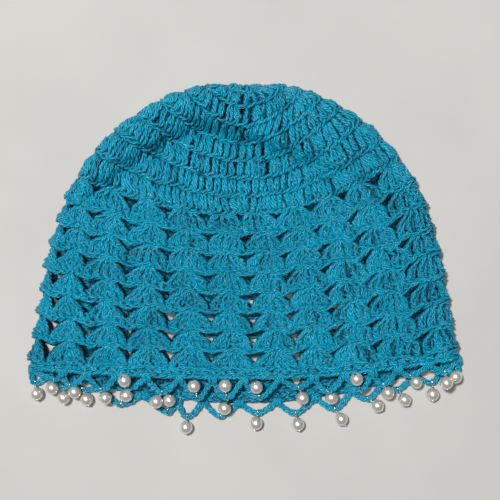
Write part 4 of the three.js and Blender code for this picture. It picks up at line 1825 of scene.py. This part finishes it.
def speckle_group() -> bpy.types.NodeTree:
    """Builds the uneven surface that yarn, pearls, wire and floor use, or finds it again.

    Returns:
        The group, with a broad and a fine mask and a scale for each.
    """
    found = bpy.data.node_groups.get("uneven_surface")
    if found:
        return found
    group = bpy.data.node_groups.new("uneven_surface", "ShaderNodeTree")
    for way, names in (("INPUT", ("Broad Scale", "Fine Scale")), ("OUTPUT", ("Broad", "Fine"))):
        for name in names:
            group.interface.new_socket(name, in_out=way, socket_type="NodeSocketFloat")
    sheet = NodeSheet(group)
    inputs = sheet.node("NodeGroupInput")
    outputs = sheet.node("NodeGroupOutput")
    place = sheet.node("ShaderNodeTexCoord")
    for i, detail in enumerate(SPECKLE_DETAILS):
        noise = sheet.node("ShaderNodeTexNoise", Detail=detail, Roughness=SPECKLE_ROUGHNESS)
        sheet.link(place.outputs["Object"], noise.inputs["Vector"])
        sheet.link(inputs.outputs[i], noise.inputs["Scale"])
        spread = sheet.node("ShaderNodeMapRange", **SPECKLE_RANGE)
        sheet.link(noise.outputs[0], spread.inputs["Value"])
        sheet.link(spread.outputs[0], outputs.inputs[i])
    return group


def uneven(
    sheet: NodeSheet, scales: tuple[float, float]
) -> tuple[bpy.types.NodeSocket, bpy.types.NodeSocket]:
    """Puts the uneven surface in a material.

    Args:
        sheet: The material's sheet.
        scales: Scales of the broad and of the fine mask.

    Returns:
        The broad and the fine mask.
    """
    made = sheet.node("ShaderNodeGroup", node_tree=speckle_group())
    made.inputs["Broad Scale"].default_value, made.inputs["Fine Scale"].default_value = scales
    return made.outputs["Broad"], made.outputs["Fine"]


@dataclass(frozen=True)
class YarnFinish:
    """Smooth cotton yarn of three twisted plies, with a soft gloss, a little sheen, and painted shade and
    light in its colour.
    """

    name: str = "cotton_yarn"
    # deep: the colour of painted shade, in low places, on cores and undersides and between the plies.
    deep: Colour = (0.0, 0.060, 0.110, 1.0)
    body: Colour = (0.0, 0.140, 0.250, 1.0)
    # light: the colour of raised strands and upper sides, partly painted light and partly the yarn's own
    # lighter tone.
    light: Colour = (0.0, 0.328, 0.505, 1.0)
    roughness: float = 0.22
    specular: float = 0.42
    sheen: float = 0.02
    sheen_roughness: float = 0.5
    sheen_tint: Colour = (0.35, 0.8, 0.95, 1.0)
    scales: tuple[float, float] = (22.0, 1400.0)
    plies: int = 3
    twists_per_cm: float = 1.2
    tone_share: float = 0.66
    broad_share: float = 0.30
    fine_share: float = 0.25
    out_of_shade_gain: float = 2.4
    groove_gain: float = 1.35
    groove_shade_share: float = 0.85
    fluff: float = 0.35
    relief_strength: float = 1.0
    relief_depth: float = 0.00050

    def _plies(self, sheet: NodeSheet) -> bpy.types.NodeSocket:
        """Draws the twisted plies along the yarn.

        Args:
            sheet: The material's sheet.

        Returns:
            Their height, 1 on a ply's crest and 0 in the groove between two.
        """
        uv = sheet.node("ShaderNodeUVMap", uv_map="yarn_uv")
        parts = sheet.node("ShaderNodeSeparateXYZ")
        sheet.link(uv.outputs[0], parts.inputs[0])
        around = sheet.maths("MULTIPLY", parts.outputs[0], float(self.plies))
        along = sheet.maths("MULTIPLY", parts.outputs[1], self.twists_per_cm * self.plies)
        phase = sheet.maths("MULTIPLY", sheet.maths("ADD", around, along), pi)
        return sheet.maths("ABSOLUTE", sheet.maths("SINE", phase))

    def material(self) -> bpy.types.Material:
        """Builds the material.

        Returns:
            The material, which reads the yarn's UV and each vertex's tone, where the stitch's own tone is
            mixed with painted shade and painted light.
        """
        material, sheet, shader = start_material(self.name, {
            "Roughness": self.roughness,
            "Specular IOR Level": self.specular,
            "Sheen Weight": self.sheen,
            "Sheen Roughness": self.sheen_roughness,
            "Sheen Tint": self.sheen_tint,
        })
        broad, fine = uneven(sheet, self.scales)
        ply = self._plies(sheet)
        # The tone read here carries painted shade and painted light as well as each stitch's own tone.
        tone = sheet.node("ShaderNodeAttribute", attribute_name="stitch_tone_and_painted_shade").outputs["Fac"]
        mixed = sheet.plus(sheet.maths("MULTIPLY", tone, self.tone_share), broad, self.broad_share)
        mixed = sheet.plus(mixed, fine, self.fine_share)
        # Painted shade: low tones are painted towards the deep colour, and higher ones towards the lighter
        # colour.
        out_of_shade = sheet.maths("MINIMUM", sheet.maths("MULTIPLY", tone, self.out_of_shade_gain), 1.0)
        colour = sheet.blend(out_of_shade, self.deep, sheet.blend(mixed, self.body, self.light))
        # Painted shade: the grooves between the plies are painted towards the deep colour.
        crest = sheet.maths("MINIMUM", sheet.maths("MULTIPLY", ply, self.groove_gain), 1.0)
        groove = sheet.maths("MULTIPLY", sheet.maths("SUBTRACT", 1.0, crest), self.groove_shade_share)
        sheet.feed(shader.inputs["Base Color"], sheet.blend(groove, colour, self.deep))
        height = sheet.plus(ply, fine, self.fluff)
        sheet.relief(shader, height, self.relief_strength, self.relief_depth)
        return material


@dataclass(frozen=True)
class PearlFinish:
    """Pearl lacquer: a warm silvery body under a clear coat, with a painted reflection that makes it lighter
    towards the rim.
    """

    name: str = "pearl_lacquer"
    body: Colour = (0.78, 0.75, 0.69, 1.0)
    shade: Colour = (0.66, 0.63, 0.57, 1.0)
    # rim: colour of the painted reflection towards the pearl's edge.
    rim: Colour = (0.95, 0.94, 0.91, 1.0)
    metallic: float = 0.70
    coat: float = 0.7
    coat_roughness: float = 0.10
    ior: float = 1.55
    scales: tuple[float, float] = (180.0, 2600.0)
    rim_blend: float = 0.35
    shade_share: float = 0.5
    rim_reflection_share: float = 0.6
    roughness: float = 0.24
    roughness_spread: float = 0.10
    relief_strength: float = 0.15
    relief_depth: float = 0.00004

    def material(self) -> bpy.types.Material:
        """Builds the material.

        Returns:
            The material.
        """
        material, sheet, shader = start_material(self.name, {
            "Metallic": self.metallic,
            "Coat Weight": self.coat,
            "Coat Roughness": self.coat_roughness,
            "IOR": self.ior,
        })
        broad, fine = uneven(sheet, self.scales)
        facing = sheet.node("ShaderNodeLayerWeight", Blend=self.rim_blend).outputs["Facing"]
        colour = sheet.blend(sheet.maths("MULTIPLY", broad, self.shade_share), self.body, self.shade)
        # Painted reflection: the base colour is painted lighter towards the pearl's rim.
        colour = sheet.blend(sheet.maths("MULTIPLY", facing, self.rim_reflection_share), colour, self.rim)
        sheet.feed(shader.inputs["Base Color"], colour)
        sheet.feed(shader.inputs["Roughness"], sheet.plus(self.roughness, fine, self.roughness_spread))
        sheet.relief(shader, fine, self.relief_strength, self.relief_depth)
        return material


@dataclass(frozen=True)
class WireFinish:
    """Bright silver-coloured wire with fine uneven marks."""

    name: str = "bright_wire"
    body: Colour = (0.78, 0.77, 0.74, 1.0)
    dull: Colour = (0.52, 0.51, 0.49, 1.0)
    scales: tuple[float, float] = (400.0, 5000.0)
    dull_share: float = 0.5
    roughness: float = 0.18
    roughness_spread: float = 0.14
    relief_strength: float = 0.2
    relief_depth: float = 0.00002

    def material(self) -> bpy.types.Material:
        """Builds the material.

        Returns:
            The material.
        """
        material, sheet, shader = start_material(self.name, {"Metallic": 1.0})
        broad, fine = uneven(sheet, self.scales)
        colour = sheet.blend(sheet.maths("MULTIPLY", broad, self.dull_share), self.body, self.dull)
        sheet.feed(shader.inputs["Base Color"], colour)
        sheet.feed(shader.inputs["Roughness"], sheet.plus(self.roughness, fine, self.roughness_spread))
        sheet.relief(shader, fine, self.relief_strength, self.relief_depth)
        return material


# Studio


@dataclass
class Studio:
    """Pale floor, light from the upper left and a camera straight above."""

    camera_place: Place = (0.0029, 0.0048, 0.713)
    clip_start: float = 0.01
    view_width: float = 0.300
    view_height: float = 0.013
    floor_size: float = 6.0
    floor_colour: Colour = (0.430, 0.427, 0.418, 1.0)
    floor_shade: Colour = (0.395, 0.393, 0.385, 1.0)
    floor_scales: tuple[float, float] = (9.0, 60.0)
    floor_roughness: float = 0.85
    floor_specular: float = 0.2
    lamp_colour: Place = (1.0, 0.985, 0.96)
    key_place: Place = (-0.78, 0.76, 2.88)
    key_size: float = 0.42
    key_power: float = 124.0
    top_place: Place = (0.0, 0.0, 2.60)
    top_size: float = 0.40
    top_power: float = 17.0
    sky: float = 0.075
    sky_colour: Colour = (0.93, 0.97, 1.0, 1.0)

    def build(self) -> None:
        """Sets the floor, the lights and the camera."""
        self._floor()
        self._light()
        self._camera()

    def _floor(self) -> None:
        """Sets the plain pale floor."""
        only_nothing()
        bpy.ops.mesh.primitive_plane_add(size=self.floor_size, location=(0, 0, 0))
        floor = bpy.context.active_object
        floor.name = "floor"
        material, sheet, shader = start_material("pale_floor", {
            "Roughness": self.floor_roughness,
            "Specular IOR Level": self.floor_specular,
        })
        broad, _ = uneven(sheet, self.floor_scales)
        sheet.feed(shader.inputs["Base Color"], sheet.blend(broad, self.floor_colour, self.floor_shade))
        floor.data.materials.append(material)

    def _lamp(self, name: str, place: Place, size: float, power: float) -> None:
        """Sets a round lamp that faces the hat.

        Args:
            name: The lamp's name.
            place: Where it is.
            size: Its width.
            power: Its power, in watts.
        """
        only_nothing()
        bpy.ops.object.light_add(type="AREA", location=place)
        lamp = bpy.context.active_object
        lamp.name = name
        lamp.data.shape = "DISK"
        lamp.data.size = size
        lamp.data.energy = power
        lamp.data.color = self.lamp_colour
        lamp.rotation_euler = (-Vector(place)).to_track_quat("-Z", "Y").to_euler()

    def _light(self) -> None:
        """Sets a lamp at the upper left, a weaker one overhead and an even sky."""
        self._lamp("key_light", self.key_place, self.key_size, self.key_power)
        self._lamp("top_light", self.top_place, self.top_size, self.top_power)
        world = bpy.data.worlds.new("soft_sky")
        world.use_nodes = True
        background = world.node_tree.nodes["Background"]
        background.inputs[0].default_value = self.sky_colour
        background.inputs[1].default_value = self.sky
        bpy.context.scene.world = world
        bpy.context.scene.view_settings.view_transform = "Standard"

    def _camera(self) -> None:
        """Sets a camera that looks straight down and frames the hat."""
        only_nothing()
        bpy.ops.object.camera_add(location=self.camera_place, rotation=(0, 0, 0))
        camera = bpy.context.active_object
        camera.name = "camera"
        away = self.camera_place[2] - self.view_height
        camera.data.lens = camera.data.sensor_width * away / self.view_width
        camera.data.clip_start = self.clip_start
        bpy.context.scene.camera = camera


# Assembly


def dress(piece: bpy.types.Object, material: bpy.types.Material, slot: str, *nodes: str) -> None:
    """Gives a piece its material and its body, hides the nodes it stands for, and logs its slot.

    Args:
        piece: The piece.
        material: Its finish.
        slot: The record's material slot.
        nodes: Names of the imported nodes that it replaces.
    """
    piece.data.materials.clear()
    piece.data.materials.append(material)
    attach(piece, "root")
    if nodes:
        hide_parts(*nodes)
    LOG.info("%s: %d faces, slot %s", piece.name, len(piece.data.polygons), slot)


def main() -> None:
    """Builds the hat piece by piece."""
    logging.basicConfig(level=logging.INFO, format="%(name)s %(message)s")
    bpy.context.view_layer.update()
    surface = LaySurface(HatLay(), ClothDrift())
    yarn = YarnFinish().material()
    pearl = PearlFinish().material()
    wire = WireFinish().material()
    for pieces, node in (
        (CrownRounds(surface).build(), "crown"),
        (ShellWall(surface).build(), "shell_wall"),
        (BrimBand(surface).build(), "brim_band"),
    ):
        for piece in pieces:
            dress(piece, yarn, "yarn", node)
    lace = LaceEdging(surface)
    for piece in lace.build():
        dress(piece, yarn, "yarn", "lace_edging")
    for node, bead, pin in PearlDrops(lace).build():
        dress(bead, pearl, "pearl", node)
        dress(pin, wire, "pin", node)
    Studio().build()


if __name__ == "__main__":
    main()
